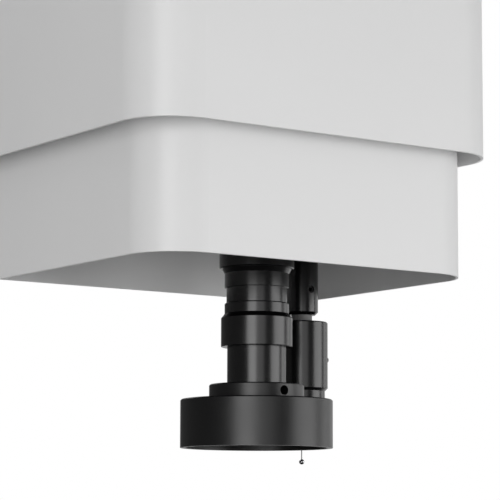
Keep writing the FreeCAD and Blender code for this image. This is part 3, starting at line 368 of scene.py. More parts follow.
spiderLook = {
    "colour": rgb(150, 26, 20), "mottle": 0.06, "mottleScale": 90.0,
    "roughness": 0.42, "roughnessSpan": 0.05,
    "surface": {"Scale": 700.0, "Coarse": 0.6}, "bump": 0.2, "bumpDepth": 0.0001,
    "edge": 0.0004, "wear": 0.05, "wearScale": 150.0, "wornColour": rgb(180, 60, 50), "dust": 0.1,
}
cameraGreyLook = {
    "colour": rgb(66, 68, 71), "mottle": 0.04, "mottleScale": 40.0,
    "roughness": 0.4, "roughnessSpan": 0.04,
    "surface": {"Scale": 1500.0, "Coarse": 0.3}, "bump": 0.2, "bumpDepth": 0.00006,
    "edge": 0.0004, "wear": 0.2, "wearScale": 240.0, "wornColour": rgb(130), "dust": 0.2,
}
probeSteelLook = {
    "colour": rgb(146), "mottle": 0.05, "mottleScale": 90.0,
    "roughness": 0.62, "roughnessSpan": 0.04, "specular": 0.25,
    "surface": {"Pitch": 4200.0}, "bump": 0.12, "bumpDepth": 0.00004,
    "edge": 0.0002, "wear": 0.2, "wearScale": 400.0, "wornColour": rgb(170), "dust": 0.05,
}
boardLook = {
    "colour": rgb(30, 33, 31), "mottle": 0.06, "mottleScale": 130.0,
    "roughness": 0.45, "roughnessSpan": 0.08,
    "surface": {"Scale": 2200.0, "Coarse": 0.4}, "bump": 0.2, "bumpDepth": 0.00005,
    "edge": 0.0002, "wear": 0.1, "wearScale": 300.0, "wornColour": rgb(70, 74, 60), "dust": 0.1,
}
ballLook = {
    "colour": rgb(196, 196, 198), "mottle": 0.02, "mottleScale": 300.0,
    "roughness": 0.15, "roughnessSpan": 0.02, "metallic": 1.0,
    "surface": {"Scale": 3000.0, "Coarse": 0.1}, "bump": 0.03, "bumpDepth": 0.00002,
    "edge": 0.0001, "wear": 0.0, "wearScale": 300.0, "wornColour": rgb(140), "dust": 0.0,
}
emitterLook = {
    "colour": rgb(232, 222, 168), "mottle": 0.05, "mottleScale": 400.0,
    "roughness": 0.3, "roughnessSpan": 0.05,
    "surface": {"Scale": 3000.0, "Coarse": 0.3}, "bump": 0.1, "bumpDepth": 0.00003,
    "edge": 0.0002, "wear": 0.0, "wearScale": 300.0, "wornColour": rgb(240), "dust": 0.0,
}
glassLook = dict(
    ballLook, colour=rgb(236, 240, 246), mottle=0.0, bump=0.0,
    metallic=0.0, roughness=0.03, roughnessSpan=0.01,
    sockets={"Transmission Weight": 0.92, "IOR": 1.52, "Coat Weight": 0.6, "Coat Tint": rgb(168, 190, 255)},
)
smokedLook = dict(
    mouldedLook, colour=rgb(58, 38, 40), roughness=0.12, roughnessSpan=0.03, bump=0.05,
    sockets={"Coat Weight": 0.8, "Coat Roughness": 0.05},
)
oxideLook = {
    "colour": rgb(10, 10, 11), "mottle": 0.10, "mottleScale": 160.0,
    "roughness": 0.46, "roughnessSpan": 0.06, "specular": 0.3,
    "surface": {"Scale": 2000.0, "Coarse": 0.5}, "bump": 0.15, "bumpDepth": 0.00004,
    "edge": 0.0002, "wear": 0.2, "wearScale": 320.0, "wornColour": rgb(58), "dust": 0.0,
}
brassLook = {
    "colour": rgb(176, 148, 92), "mottle": 0.06, "mottleScale": 150.0,
    "roughness": 0.32, "roughnessSpan": 0.06, "metallic": 1.0,
    "surface": {"Scale": 1600.0, "Coarse": 0.4}, "bump": 0.1, "bumpDepth": 0.00003,
    "edge": 0.0002, "wear": 0.2, "wearScale": 260.0, "wornColour": rgb(208, 186, 130), "dust": 0.1,
}
ceramicLook = {
    "colour": rgb(214, 214, 208), "mottle": 0.03, "mottleScale": 500.0,
    "roughness": 0.48, "roughnessSpan": 0.04,
    "surface": {"Scale": 3000.0, "Coarse": 0.2}, "bump": 0.12, "bumpDepth": 0.00002,
    "edge": 0.0001, "wear": 0.0, "wearScale": 300.0, "wornColour": rgb(220), "dust": 0.0,
}

finishes = {
    "cover_paint": finish("coverPaint", coverPaintLook),
    "black_anodised": finish("blackAnodised", anodisedLook, turning),
    "bare_aluminium": finish("milledAluminium", milledLook),
    "ground_steel": finish("groundSteel", groundLook, turning),
    "zinc_steel": finish("zincPlate", zincLook),
    "casting_grey": finish("castingPaint", castingLook),
    "motor_black": finish("motorBlack", motorLook),
    "black_plastic": finish("mouldedBlack", mouldedLook),
    "black_rubber": finish("rubberBlack", rubberLook),
    "spider_red": finish("spiderRed", spiderLook),
    "coated_glass": finish("coatedGlass", glassLook),
    "camera_grey": finish("cameraGrey", cameraGreyLook),
    "probe_steel": finish("probeSteel", probeSteelLook, turning),
    "indicator_smoke": finish("smokedLens", smokedLook),
    "board_black": finish("boardMask", boardLook),
    "emitter_white": finish("emitterPhosphor", emitterLook),
    "ball_chrome": finish("ballChrome", ballLook),
}
blasted = finish("blastedBlack", blastedLook)
# The inner cover's inward faces get a darker colour as painted shade, and the dust plate is blasted black like
# the ring light
paintedShadeCoat = finish("paintedInsideShade", dict(coverPaintLook, insideShadeColour=rgb(204)))
blackOxide = finish("blackOxide", oxideLook)
brass = finish("capBrass", brassLook)
ceramic = finish("emitterCeramic", ceramicLook)
ownFinish = {
    "ring_light_housing": blasted, "ring_light_collar": blasted,
    "inner_cover": paintedShadeCoat, "dust_plate": blasted,
}

for part in frame["record"]["subparts"]:
    node = cadNodes[part["node"]]
    material = ownFinish.get(part["node"], finishes[part["material_slot"]])
    if not node.material_slots:
        node.data.materials.append(material)
    for slot in node.material_slots:
        slot.material = material
print("finishes:", len(bpy.data.materials))


# Geometry Nodes: helpers, and the two shapes that screws and emitters share
def mm(*lengths):  # metres of millimetres
    return lengths[0] / 1000 if len(lengths) == 1 else tuple(v / 1000 for v in lengths)


def smoothByAngle(tree, mesh, angle=0.6):  # smooth faces, with edges sharper than the angle kept
    smooth = addNode(tree, "GeometryNodeSetShadeSmooth", {"Geometry": mesh}, domain="FACE").outputs[0]
    bend = addNode(tree, "GeometryNodeInputMeshEdgeAngle").outputs[0]
    sharp = addMath(tree, "GREATER_THAN", bend, angle)
    inputs = {"Geometry": smooth, "Selection": sharp, "Shade Smooth": False}
    return addNode(tree, "GeometryNodeSetShadeSmooth", inputs, domain="EDGE").outputs[0]


def moved(tree, mesh, offset):
    return addNode(tree, "GeometryNodeTransform", {"Geometry": mesh, "Translation": offset}).outputs[0]


def upVector(tree, height):
    return addNode(tree, "ShaderNodeCombineXYZ", {"Z": height}).outputs[0]


def addDrum(tree, sides, radius, depth, rings=1):
    inputs = {"Vertices": sides, "Side Segments": rings, "Radius": radius, "Depth": depth}
    return addNode(tree, "GeometryNodeMeshCylinder", inputs).outputs[0]


def addCopies(tree, points, mesh, **rotation):
    inputs = {"Points": points, "Instance": mesh, **rotation}
    return addNode(tree, "GeometryNodeInstanceOnPoints", inputs).outputs[0]


def realised(tree, copies):
    return addNode(tree, "GeometryNodeRealizeInstances", {"Geometry": copies}).outputs[0]


def joined(tree, *meshes):
    join = tree.nodes.new("GeometryNodeJoinGeometry")
    for mesh in reversed(meshes):
        tree.links.new(mesh, join.inputs[0])
    return join.outputs[0]


def painted(tree, mesh, material):
    return addNode(tree, "GeometryNodeSetMaterial", {"Geometry": mesh, "Material": material}).outputs[0]


def makeCrown():  # round boss standing on z = 0 that narrows towards its top
    tree, given, result = newGroup(
        "crown",
        "GeometryNodeTree",
        [("Diameter", number, 0.008), ("Height", number, 0.004), ("Top Share", number, 0.9),
         ("Roundness", number, 8.0), ("Sides", integer, 24), ("Rings", integer, 5)],
        [("Mesh", geometry)],
    )
    radius = addMath(tree, "MULTIPLY", given["Diameter"], 0.5)
    drum = addDrum(tree, given["Sides"], radius, given["Height"], given["Rings"])
    place = addNode(tree, "GeometryNodeInputPosition").outputs[0]
    rise = addMath(tree, "DIVIDE", heightOf(tree, place), given["Height"])
    height = addMath(tree, "ADD", rise, 0.5)
    lost = addMath(tree, "SUBTRACT", 1.0, addMath(tree, "POWER", given["Top Share"], 2.0))
    fall = addMath(tree, "POWER", height, given["Roundness"])
    share = addMath(tree, "SQRT", addMath(tree, "SUBTRACT", 1.0, addMath(tree, "MULTIPLY", fall, lost)))
    scale = addNode(tree, "ShaderNodeCombineXYZ", {"X": share, "Y": share, "Z": 1.0}).outputs[0]
    narrowed = addVectorMath(tree, "MULTIPLY", place, scale)
    shaped = addNode(tree, "GeometryNodeSetPosition", {"Geometry": drum, "Position": narrowed}).outputs[0]
    half = addMath(tree, "MULTIPLY", given["Height"], 0.5)
    tree.links.new(moved(tree, shaped, upVector(tree, half)), result["Mesh"])
    return tree


def makeScrews():  # screw with a hexagon socket on every place, its head towards the place's facing
    tree, given, result = newGroup(
        "screws",
        "GeometryNodeTree",
        [("Places", geometry, None), ("Head", number, 0.0076), ("Height", number, 0.0022),
         ("Top Share", number, 0.9), ("Roundness", number, 8.0), ("Socket", number, 0.0025),
         ("Socket Depth", number, 0.0012), ("Shank", number, 0.004), ("Length", number, 0.005),
         ("Material", materialKind, None)],
        [("Geometry", geometry)],
    )
    sizes = {
        "Diameter": given["Head"], "Height": given["Height"],
        "Top Share": given["Top Share"], "Roundness": given["Roundness"],
    }
    head = addNode(tree, "GeometryNodeGroup", sizes, node_tree=crown).outputs[0]
    corner = addMath(tree, "DIVIDE", given["Socket"], sqrt(3))
    deep = addMath(tree, "MULTIPLY", given["Socket Depth"], 2.0)
    key = moved(tree, addDrum(tree, 6, corner, deep), upVector(tree, given["Height"]))
    inputs = {"Mesh 1": head, "Mesh 2": key}
    cut = addNode(tree, "GeometryNodeMeshBoolean", inputs, operation="DIFFERENCE").outputs[0]
    thin = addMath(tree, "MULTIPLY", given["Shank"], 0.5)
    stem = addDrum(tree, 20, thin, given["Length"])
    below = moved(tree, stem, upVector(tree, addMath(tree, "MULTIPLY", given["Length"], -0.5)))
    screw = smoothByAngle(tree, joined(tree, cut, below))
    named = {"Name": "facing"}
    facing = addNode(tree, "GeometryNodeInputNamedAttribute", named, data_type="FLOAT_VECTOR").outputs[0]
    turn = addNode(tree, "FunctionNodeAlignRotationToVector", {"Vector": facing}, axis="Z").outputs[0]
    real = realised(tree, addCopies(tree, given["Places"], screw, Rotation=turn))
    tree.links.new(painted(tree, real, given["Material"]), result["Geometry"])
    return tree


def runTree(name, tree, values, body, slotName, places=((0, 0, 0),), facing=None):
    mesh = bpy.data.meshes.new(name)
    mesh.from_pydata([Vector(p) for p in places], [], [])
    if facing:
        mesh.attributes.new("facing", "FLOAT_VECTOR", "POINT")
        for entry, way in zip(mesh.attributes["facing"].data, facing):
            entry.vector = way
    piece = bpy.data.objects.new(name, mesh)
    bpy.context.scene.collection.objects.link(piece)
    modifier = piece.modifiers.new("make", "NODES")
    modifier.node_group = tree
    for label, value in values.items():
        modifier[tree.interface.items_tree[label].identifier] = value
    graph = bpy.context.evaluated_depsgraph_get()
    made = bpy.data.meshes.new_from_object(piece.evaluated_get(graph), depsgraph=graph)
    piece.modifiers.clear()
    piece.data = made
    made.name = name
    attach(piece, body)
    return piece


crown = makeCrown()
screws = makeScrews()


# Places that the screws and the turned pieces share with the frame, in millimetres
coverHalf, lensY, ringBottom, probeX = 153.0, -231.4, -443.4, 69.8
left, right, front, down = (-1, 0, 0), (1, 0, 0), (0, -1, 0), (0, 0, -1)
sideWays = ((-1, left), (1, right))

buttonScrew = {
    "Head": mm(7.6), "Height": mm(2.2), "Top Share": 0.55, "Roundness": 2.0,
    "Socket": mm(2.5), "Socket Depth": mm(1.3), "Shank": mm(4.0), "Length": mm(5.0),
}
capScrewM6 = {
    "Head": mm(10.0), "Height": mm(6.0), "Top Share": 0.93, "Roundness": 14.0,
    "Socket": mm(5.0), "Socket Depth": mm(3.0), "Shank": mm(6.0), "Length": mm(10.0),
}
capScrewM5 = {
    "Head": mm(8.5), "Height": mm(5.0), "Top Share": 0.93, "Roundness": 14.0,
    "Socket": mm(4.0), "Socket Depth": mm(2.5), "Shank": mm(5.0), "Length": mm(10.0),
}
capScrewM4 = {
    "Head": mm(7.0), "Height": mm(4.0), "Top Share": 0.93, "Roundness": 14.0,
    "Socket": mm(3.0), "Socket Depth": mm(2.0), "Shank": mm(4.0), "Length": mm(8.0),
}
lowScrewM5 = dict(capScrewM5, Height=mm(3.5), **{"Socket Depth": mm(1.8)})
setScrewM8 = {
    "Head": mm(6.8), "Height": mm(4.4), "Top Share": 0.93, "Roundness": 10.0,
    "Socket": mm(4.0), "Socket Depth": mm(3.0), "Shank": mm(4.4), "Length": mm(0.6),
}
setScrewM6 = dict(setScrewM8, Head=mm(5.5), Socket=mm(3.0), Shank=mm(3.6))

coverRow = {"y": -28.0, "low": -182.0, "span": 352.0, "gaps": 3}  # along the cover's rear edge
lidPlaces = [(-90.0, 220.0), (-240.0, 220.0)]
coverPlaces = [
    (coverRow["y"], coverRow["low"] + i * coverRow["span"] / coverRow["gaps"])
    for i in range(coverRow["gaps"] + 1)
] + lidPlaces

# Each set: the screw, its body and slot, and its places with the way that its heads face
screwSets = {
    "coverScrews": (buttonScrew, "column", "zinc_steel", [
        (side * coverHalf, y, z, way) for side, way in sideWays for y, z in coverPlaces
    ]),
    "supportScrews": (lowScrewM5, "column", "zinc_steel", [
        (x, -74.0, z, front) for x in (-22.5, 22.5) for z in (-213.0, -201.0, 67.0, 79.0)
    ]),
    "motorScrews": (capScrewM5, "column", "zinc_steel", [
        (x, -50.0 + y, 128.0, down) for x in (-18.5, 18.5) for y in (-18.5, 18.5)
    ]),
    "headPlateScrews": (capScrewM6, "carriage", "zinc_steel", [
        (x, -108.0, z, front) for x in (-60.0, 60.0) for z in (-35.0, 10.0, 50.0)
    ]),
    "lensBracketScrews": (capScrewM6, "carriage", "zinc_steel", [
        (x, -120.0, z, front) for x in (-37.5, 37.5) for z in (-182.0, -216.0)
    ]),
    "probeBracketScrews": (capScrewM4, "carriage", "zinc_steel", [
        (x, -118.0, z, front) for x in (56.0, 80.3) for z in (-205.0, -224.0)
    ]),
    "nutFlangeScrews": (capScrewM5, "carriage", "zinc_steel", [
        (x, -50.0 + y, -66.0, down) for x in (-12.7, 12.7) for y in (-12.7, 12.7)
    ]),
    "lensClampScrews": (dict(capScrewM5, Length=mm(20.0)), "carriage", "zinc_steel", [
        (x, lensY - 10.0, z, front) for x in (-45.5, 45.5) for z in (-251.9, -239.9)
    ]),
    "ringLightSetScrew": (setScrewM8, "ring_light", "zinc_steel", [(0.0, -253.41, -403.45, front)]),
    "probeSetScrew": (setScrewM6, "carriage", "zinc_steel", [(probeX, -198.04, -321.4, front)]),
}
standsFor = {
    "coverScrews": "cover_screws",
    "lensClampScrews": "lens_clamp_screws",
    "ringLightSetScrew": "ring_light_screw",
    "probeSetScrew": "probe_set_screw",
}
oxideScrews = (
    "ringLightSetScrew", "probeSetScrew", "lensClampScrews",
    "headPlateScrews", "lensBracketScrews", "probeBracketScrews",
)

for name, (screw, body, slotName, places) in screwSets.items():
    material = blackOxide if name in oxideScrews else finishes["zinc_steel"]
    values = dict(screw, Material=material)
    points = [mm(x, y, z) for x, y, z, way in places]
    piece = runTree(name, screws, values, body, slotName, points, [way for x, y, z, way in places])
    if name in standsFor:
        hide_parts(standsFor[name])
print("screws:", len(screwSets), "sets")


# Rail plugs over the bolts of the guide rails
railPlugs = {
    "diameter": 7.4, "proud": 0.12, "topShare": 0.92, "roundness": 3.0,
    "pitch": 60.0, "first": -200.0, "count": 7, "railX": 85.0, "faceY": -67.0,
}


def makePlugs():
    tree, given, result = newGroup(
        "railPlugs",
        "GeometryNodeTree",
        [("Places", geometry, None), ("Diameter", number, 0.0074), ("Proud", number, 0.0001),
         ("Pitch", number, 0.06), ("Count", integer, 7), ("Material", materialKind, None)],
        [("Geometry", geometry)],
    )
    plug = addNode(tree, "GeometryNodeGroup", {
        "Diameter": given["Diameter"], "Height": given["Proud"],
        "Top Share": railPlugs["topShare"], "Roundness": railPlugs["roundness"], "Rings": 2,
    }, node_tree=crown).outputs[0]
    line = {"Count": given["Count"], "Offset": upVector(tree, given["Pitch"])}
    row = addNode(tree, "GeometryNodeMeshLine", line, mode="OFFSET").outputs[0]
    points = realised(tree, addCopies(tree, given["Places"], row))
    lying = addNode(tree, "FunctionNodeEulerToRotation", {0: (pi / 2, 0.0, 0.0)}).outputs[0]
    real = realised(tree, addCopies(tree, points, smoothByAngle(tree, plug), Rotation=lying))
    tree.links.new(painted(tree, real, given["Material"]), result["Geometry"])
    return tree


plugValues = {
    "Diameter": mm(railPlugs["diameter"]), "Proud": mm(railPlugs["proud"]), "Pitch": mm(railPlugs["pitch"]),
    "Count": railPlugs["count"], "Material": brass,
}
plugStarts = [mm(side * railPlugs["railX"], railPlugs["faceY"], railPlugs["first"]) for side in (-1, 1)]
runTree("railPlugs", makePlugs(), plugValues, "column", "ground_steel", plugStarts)
print("rail plugs: 2 rows of", railPlugs["count"])


# Ball screw, whose thread is a groove that winds up the shaft
ballScrew = {
    "diameter": 16.0, "lead": 10.0, "groove": 3.6, "depth": 1.1, "low": -190.0, "high": 59.0,
    "sides": 36, "rings": 340, "journalSides": 40, "sharpAngle": 0.7, "axisY": -50.0,
    "journals": [(12.0, -218.0, -190.0), (12.0, 59.0, 91.0), (8.0, 91.0, 105.0)],
}


def makeThread():
    tree, given, result = newGroup(
        "thread",
        "GeometryNodeTree",
        [("Places", geometry, None), ("Diameter", number, 0.016), ("Lead", number, 0.01),
         ("Groove", number, 0.0036), ("Depth", number, 0.0011), ("Low", number, 0.0),
         ("High", number, 0.2), ("Sides", integer, 36), ("Rings", integer, 340),
         ("Material", materialKind, None)],
        [("Geometry", geometry)],
    )
    length = addMath(tree, "SUBTRACT", given["High"], given["Low"])
    radius = addMath(tree, "MULTIPLY", given["Diameter"], 0.5)
    shaft = addDrum(tree, given["Sides"], radius, length, given["Rings"])
    place = addNode(tree, "GeometryNodeInputPosition").outputs[0]
    parts = addNode(tree, "ShaderNodeSeparateXYZ", {0: place}).outputs
    turn = addMath(tree, "DIVIDE", addMath(tree, "ARCTAN2", parts["Y"], parts["X"]), 2 * pi)
    climb = addMath(tree, "DIVIDE", parts["Z"], given["Lead"])
    phase = addMath(tree, "FRACT", addMath(tree, "SUBTRACT", climb, turn))
    away = addMath(tree, "ABSOLUTE", addMath(tree, "SUBTRACT", phase, 0.5))
    reach = addMath(tree, "DIVIDE", addMath(tree, "MULTIPLY", given["Groove"], 0.5), given["Lead"])
    ratio = addMath(tree, "DIVIDE", away, reach, clamp=True)
    bow = addMath(tree, "SQRT", addMath(tree, "SUBTRACT", 1.0, addMath(tree, "MULTIPLY", ratio, ratio)))
    sink = addMath(tree, "DIVIDE", addMath(tree, "MULTIPLY", bow, given["Depth"]), radius)
    sunk = addMath(tree, "SUBTRACT", 1.0, sink)
    scale = addNode(tree, "ShaderNodeCombineXYZ", {"X": sunk, "Y": sunk, "Z": 1.0}).outputs[0]
    wound = addVectorMath(tree, "MULTIPLY", place, scale)
    shaped = addNode(tree, "GeometryNodeSetPosition", {"Geometry": shaft, "Position": wound}).outputs[0]
    middle = addMath(tree, "MULTIPLY", addMath(tree, "ADD", given["Low"], given["High"]), 0.5)
    meshes = [moved(tree, shaped, upVector(tree, middle))]
    for diameter, low, high in ballScrew["journals"]:
        drum = addDrum(tree, ballScrew["journalSides"], mm(diameter / 2), mm(high - low))
        meshes.append(moved(tree, drum, mm(0.0, 0.0, (low + high) / 2)))
    whole = smoothByAngle(tree, joined(tree, *meshes), ballScrew["sharpAngle"])
    real = realised(tree, addCopies(tree, given["Places"], whole))
    tree.links.new(painted(tree, real, given["Material"]), result["Geometry"])
    return tree


threadValues = {
    "Diameter": mm(ballScrew["diameter"]), "Lead": mm(ballScrew["lead"]), "Groove": mm(ballScrew["groove"]),
    "Depth": mm(ballScrew["depth"]), "Low": mm(ballScrew["low"]), "High": mm(ballScrew["high"]),
    "Sides": ballScrew["sides"], "Rings": ballScrew["rings"], "Material": finishes["ground_steel"],
}
shaftFoot = mm(0.0, ballScrew["axisY"], 0.0)
shaftPiece = runTree("ballScrewShaft", makeThread(), threadValues, "screw", "ground_steel", [shaftFoot])
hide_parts("ball_screw")
print("ball screw:", len(shaftPiece.data.polygons), "faces")


# Light emitters in rows on the conical board, each a ceramic package with a phosphor dome
emitters = {
    "rows": 4, "inner": 28.0, "outer": 51.0, "innerRise": 26.0, "outerRise": 7.0, "spacing": 11.0,
    "size": 3.0, "package": 0.75, "seat": 0.1, "dome": 2.3, "domeHeight": 0.45,
    "domeTop": 0.2, "domeRoundness": 2.0, "domeSides": 12, "domeRings": 3,
}


def makeEmitters():
    tree, given, result = newGroup(
        "emitterRows",
        "GeometryNodeTree",
        [("Places", geometry, None), ("Inner", number, 0.028), ("Outer", number, 0.051),
         ("Inner Rise", number, 0.026), ("Outer Rise", number, 0.007), ("Spacing", number, 0.011),
         ("Size", number, 0.003), ("Package", number, 0.0007), ("Seat", number, 0.0001),
         ("Dome", number, 0.0023), ("Dome Height", number, 0.0004),
         ("Package Material", materialKind, None), ("Dome Material", materialKind, None)],
        [("Geometry", geometry)],
    )
    span = addMath(tree, "SUBTRACT", given["Outer"], given["Inner"])
    drop = addMath(tree, "SUBTRACT", given["Inner Rise"], given["Outer Rise"])
    rows = []
    for row in range(emitters["rows"]):
        share = (row + 0.5) / emitters["rows"]
        radius = addMath(tree, "MULTIPLY_ADD", span, share, given["Inner"])
        rise = addMath(tree, "SUBTRACT", given["Inner Rise"], addMath(tree, "MULTIPLY", drop, share))
        around = addMath(tree, "MULTIPLY", radius, 2 * pi)
        exact = addMath(tree, "DIVIDE", around, given["Spacing"])
        count = addNode(tree, "FunctionNodeFloatToInt", {0: exact}, rounding_mode="ROUND").outputs[0]
        circle = addNode(tree, "GeometryNodeMeshCircle", {"Vertices": count, "Radius": radius}).outputs[0]
        rows.append(moved(tree, circle, upVector(tree, rise)))
    block = {"X": given["Size"], "Y": given["Size"], "Z": given["Package"]}
    size = addNode(tree, "ShaderNodeCombineXYZ", block).outputs[0]
    cube = addNode(tree, "GeometryNodeMeshCube", {"Size": size}).outputs[0]
    seat = addMath(tree, "MULTIPLY", given["Seat"], -1.0)
    sunk = addMath(tree, "MULTIPLY_ADD", given["Package"], -0.5, seat)
    package = painted(tree, moved(tree, cube, upVector(tree, sunk)), given["Package Material"])
    dome = addNode(tree, "GeometryNodeGroup", {
        "Diameter": given["Dome"], "Height": given["Dome Height"],
        "Top Share": emitters["domeTop"], "Roundness": emitters["domeRoundness"],
        "Sides": emitters["domeSides"], "Rings": emitters["domeRings"],
    }, node_tree=crown).outputs[0]
    foot = addMath(tree, "MULTIPLY", addMath(tree, "ADD", given["Package"], given["Seat"]), -1.0)
    turn = {"Geometry": dome, "Translation": upVector(tree, foot), "Rotation": (pi, 0, 0)}
    turned = addNode(tree, "GeometryNodeTransform", turn).outputs[0]
    glow = painted(tree, smoothByAngle(tree, turned), given["Dome Material"])
    place = addNode(tree, "GeometryNodeInputPosition").outputs[0]
    spot = addNode(tree, "ShaderNodeSeparateXYZ", {0: place}).outputs
    angles = {"Y": addMath(tree, "ARCTAN2", drop, span), "Z": addMath(tree, "ARCTAN2", spot["Y"], spot["X"])}
    euler = addNode(tree, "ShaderNodeCombineXYZ", angles).outputs[0]
    lean = addNode(tree, "FunctionNodeEulerToRotation", {0: euler}).outputs[0]
    ring = addCopies(tree, joined(tree, *rows), joined(tree, package, glow), Rotation=lean)
    tree.links.new(realised(tree, addCopies(tree, given["Places"], ring)), result["Geometry"])
    return tree


emitterValues = {
    "Inner": mm(emitters["inner"]), "Outer": mm(emitters["outer"]),
    "Inner Rise": mm(emitters["innerRise"]), "Outer Rise": mm(emitters["outerRise"]),
    "Spacing": mm(emitters["spacing"]), "Size": mm(emitters["size"]),
    "Package": mm(emitters["package"]), "Seat": mm(emitters["seat"]),
    "Dome": mm(emitters["dome"]), "Dome Height": mm(emitters["domeHeight"]),
    "Package Material": ceramic, "Dome Material": finishes["emitter_white"],
}
emitterPlaces = [mm(0.0, lensY, ringBottom)]
emitterPiece = runTree(
    "lightEmitters", makeEmitters(), emitterValues, "ring_light", "emitter_white", emitterPlaces)
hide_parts("ring_light_emitters")
print("emitters:", len(emitterPiece.data.polygons), "faces")


# Turned pieces: an outline of radius and height about the lens's axis
def turnedPiece(name, outline, body, slotName, steps=64, sharpAngle=0.5):
    build = bmesh.new()
    rings = []
    for radius, height in outline:
        count = 1 if radius == 0 else steps
        ring = []
        for i in range(count):
            angle = 2 * pi * i / steps
            ring.append(build.verts.new(mm(radius * cos(angle), lensY + radius * sin(angle), height)))
        rings.append(ring)
    closed = outline[0][0] != 0
    pairs = list(zip(rings, rings[1:])) + ([(rings[-1], rings[0])] if closed else [])
    for low, high in pairs:
        for i in range(steps):
            k = (i + 1) % steps
            corners = [low[i % len(low)], low[k % len(low)], high[k % len(high)], high[i % len(high)]]
            build.faces.new(list(dict.fromkeys(corners)))
    bmesh.ops.recalc_face_normals(build, faces=build.faces[:])
    mesh = bpy.data.meshes.new(name)
    build.to_mesh(mesh)
    build.free()
    mesh.shade_smooth()
    mesh.set_sharp_from_angle(angle=sharpAngle)
    mesh.materials.append(finishes[slotName])
    piece = bpy.data.objects.new(name, mesh)
    bpy.context.scene.collection.objects.link(piece)
    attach(piece, body)
    return piece


def bowed(radius, rim, centre, steps=8):  # points of a shallow bowed face from the axis out to its rim
    return [(radius * i / steps, centre + (rim - centre) * (i / steps) ** 2) for i in range(steps + 1)]


# Each glass: its radius, and the heights of its two faces at the rim and at the centre
lenses = {
    "objective": {"radius": 17.9, "low": (-433.2, -434.8), "high": (-428.2, -429.4)},
    "tubeGlass": {"radius": 16.9, "low": (-198.2, -199.1), "high": (-194.1, -193.3)},
    "cellGlass": {"radius": 12.9, "low": (-354.2, -355.3), "high": (-351.2, -350.4)},
}
zoomCell = {
    "outer": 16.94, "inner": 13.0, "low": -356.85, "high": -342.85,
    "lip": 11.5, "lipHeight": 1.5, "edge": 0.4,
}


def makeLens(name, body, stands):
    lens = lenses[name]
    lower, upper = bowed(lens["radius"], *lens["low"]), bowed(lens["radius"], *lens["high"])
    piece = turnedPiece(name, lower + list(reversed(upper)), body, "coated_glass")
    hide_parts(stands)


def cellOutline(cell):
    outer, edge, seat = cell["outer"], cell["edge"], cell["low"] + cell["lipHeight"]
    return [
        (cell["lip"], cell["low"]),
        (outer - edge, cell["low"]),
        (outer, cell["low"] + edge),
        (outer, cell["high"] - edge),
        (outer - edge, cell["high"]),
        (cell["inner"], cell["high"]),
        (cell["inner"], seat),
        (cell["lip"], seat),
    ]


makeLens("objective", "carriage", "lens_glasses")
makeLens("tubeGlass", "carriage", "lens_glasses")
makeLens("cellGlass", "zoom_cell", "zoom_cell")
cellPiece = turnedPiece("zoomCellBarrel", cellOutline(zoomCell), "zoom_cell", "black_anodised")
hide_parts("zoom_cell")
print("lenses:", len(lenses))


# Stage: a pale floor well below the head, white behind it to the camera, and six softboxes round it
studio = {
    "floorZ": -1.25, "floorSize": 40.0, "floorGloss": 0.04, "floorWhite": 0.92,
    "floorTints": (rgb(190), rgb(198)), "tintScale": 3.0,
    "underneath": 0.01, "ambient": 0.11, "overhead": 0.03, "surround": 0.05, "sky": 0.30,
    "rim": 0.7, "rimAngle": 160.0, "rimRise": -8.0,
    "lowSpan": (-0.6, -0.2), "highSpan": (0.6, 0.95), "rimSpan": (0.75, 0.95), "skySpan": (0.4, 0.9),
}
softboxes = {
    "keySoftbox": {"angle": -17.0, "rise": 1.0, "distance": 3.0, "width": 1.52, "height": 2.5, "power": 39.0},
    "highSoftbox": {"angle": -72.0, "rise": 32.0, "distance": 3.0, "width": 1.6, "height": 0.9, "power": 4.0},
    "fillSoftbox": {"angle": 11.0, "rise": 3.0, "distance": 3.0, "width": 1.8, "height": 1.9, "power": 10.0},
    "rightSoftbox": {"angle": 77.5, "rise": -9.0, "distance": 2.8, "width": 2.2, "height": 1.8, "power": 34.5},
    "rearSoftbox": {"angle": 222.0, "rise": 36.0, "distance": 3.2, "width": 2.2, "height": 1.4, "power": 20.0},
    "backSoftbox": {"angle": 120.0, "rise": -6.0, "distance": 2.8, "width": 0.9, "height": 2.0, "power": 7.5},
}
aim = Vector((0.0, -0.2, -0.2))


def wayFrom(angle, rise):  # direction at an angle to the right of the camera's own place
    turn, lift = radians(photoView["azimuth"] + angle), radians(rise)
    return Vector((sin(turn) * cos(lift), -cos(turn) * cos(lift), sin(lift)))


def makeGlow():  # strength of the dim light from a direction: nearly none from below, most from behind
    tree, given, result = newGroup(
        "studioGlow",
        "ShaderNodeTree",
        [("Direction", vector, (0, 0, 1))],
        [("Strength", number)],
    )
    up = heightOf(tree, given["Direction"])
    low = addRange(tree, up, studio["lowSpan"], (studio["underneath"], studio["ambient"]))
    high = addRange(tree, up, studio["highSpan"], (0.0, studio["overhead"] - studio["ambient"]))
    way = wayFrom(studio["rimAngle"], studio["rimRise"])
    toRim = addVectorMath(tree, "DOT_PRODUCT", given["Direction"], way)
    rim = addRange(tree, toRim, studio["rimSpan"], (0.0, studio["rim"]))
    tree.links.new(addMath(tree, "ADD", addMath(tree, "ADD", low, high), rim), result["Strength"])
    return tree


studioGlow = makeGlow()
plainWhite = {"Color": (1, 1, 1, 1), "Strength": 1.0}


def glowFrom(tree, direction):
    return addNode(tree, "ShaderNodeGroup", {"Direction": direction}, node_tree=studioGlow).outputs[0]


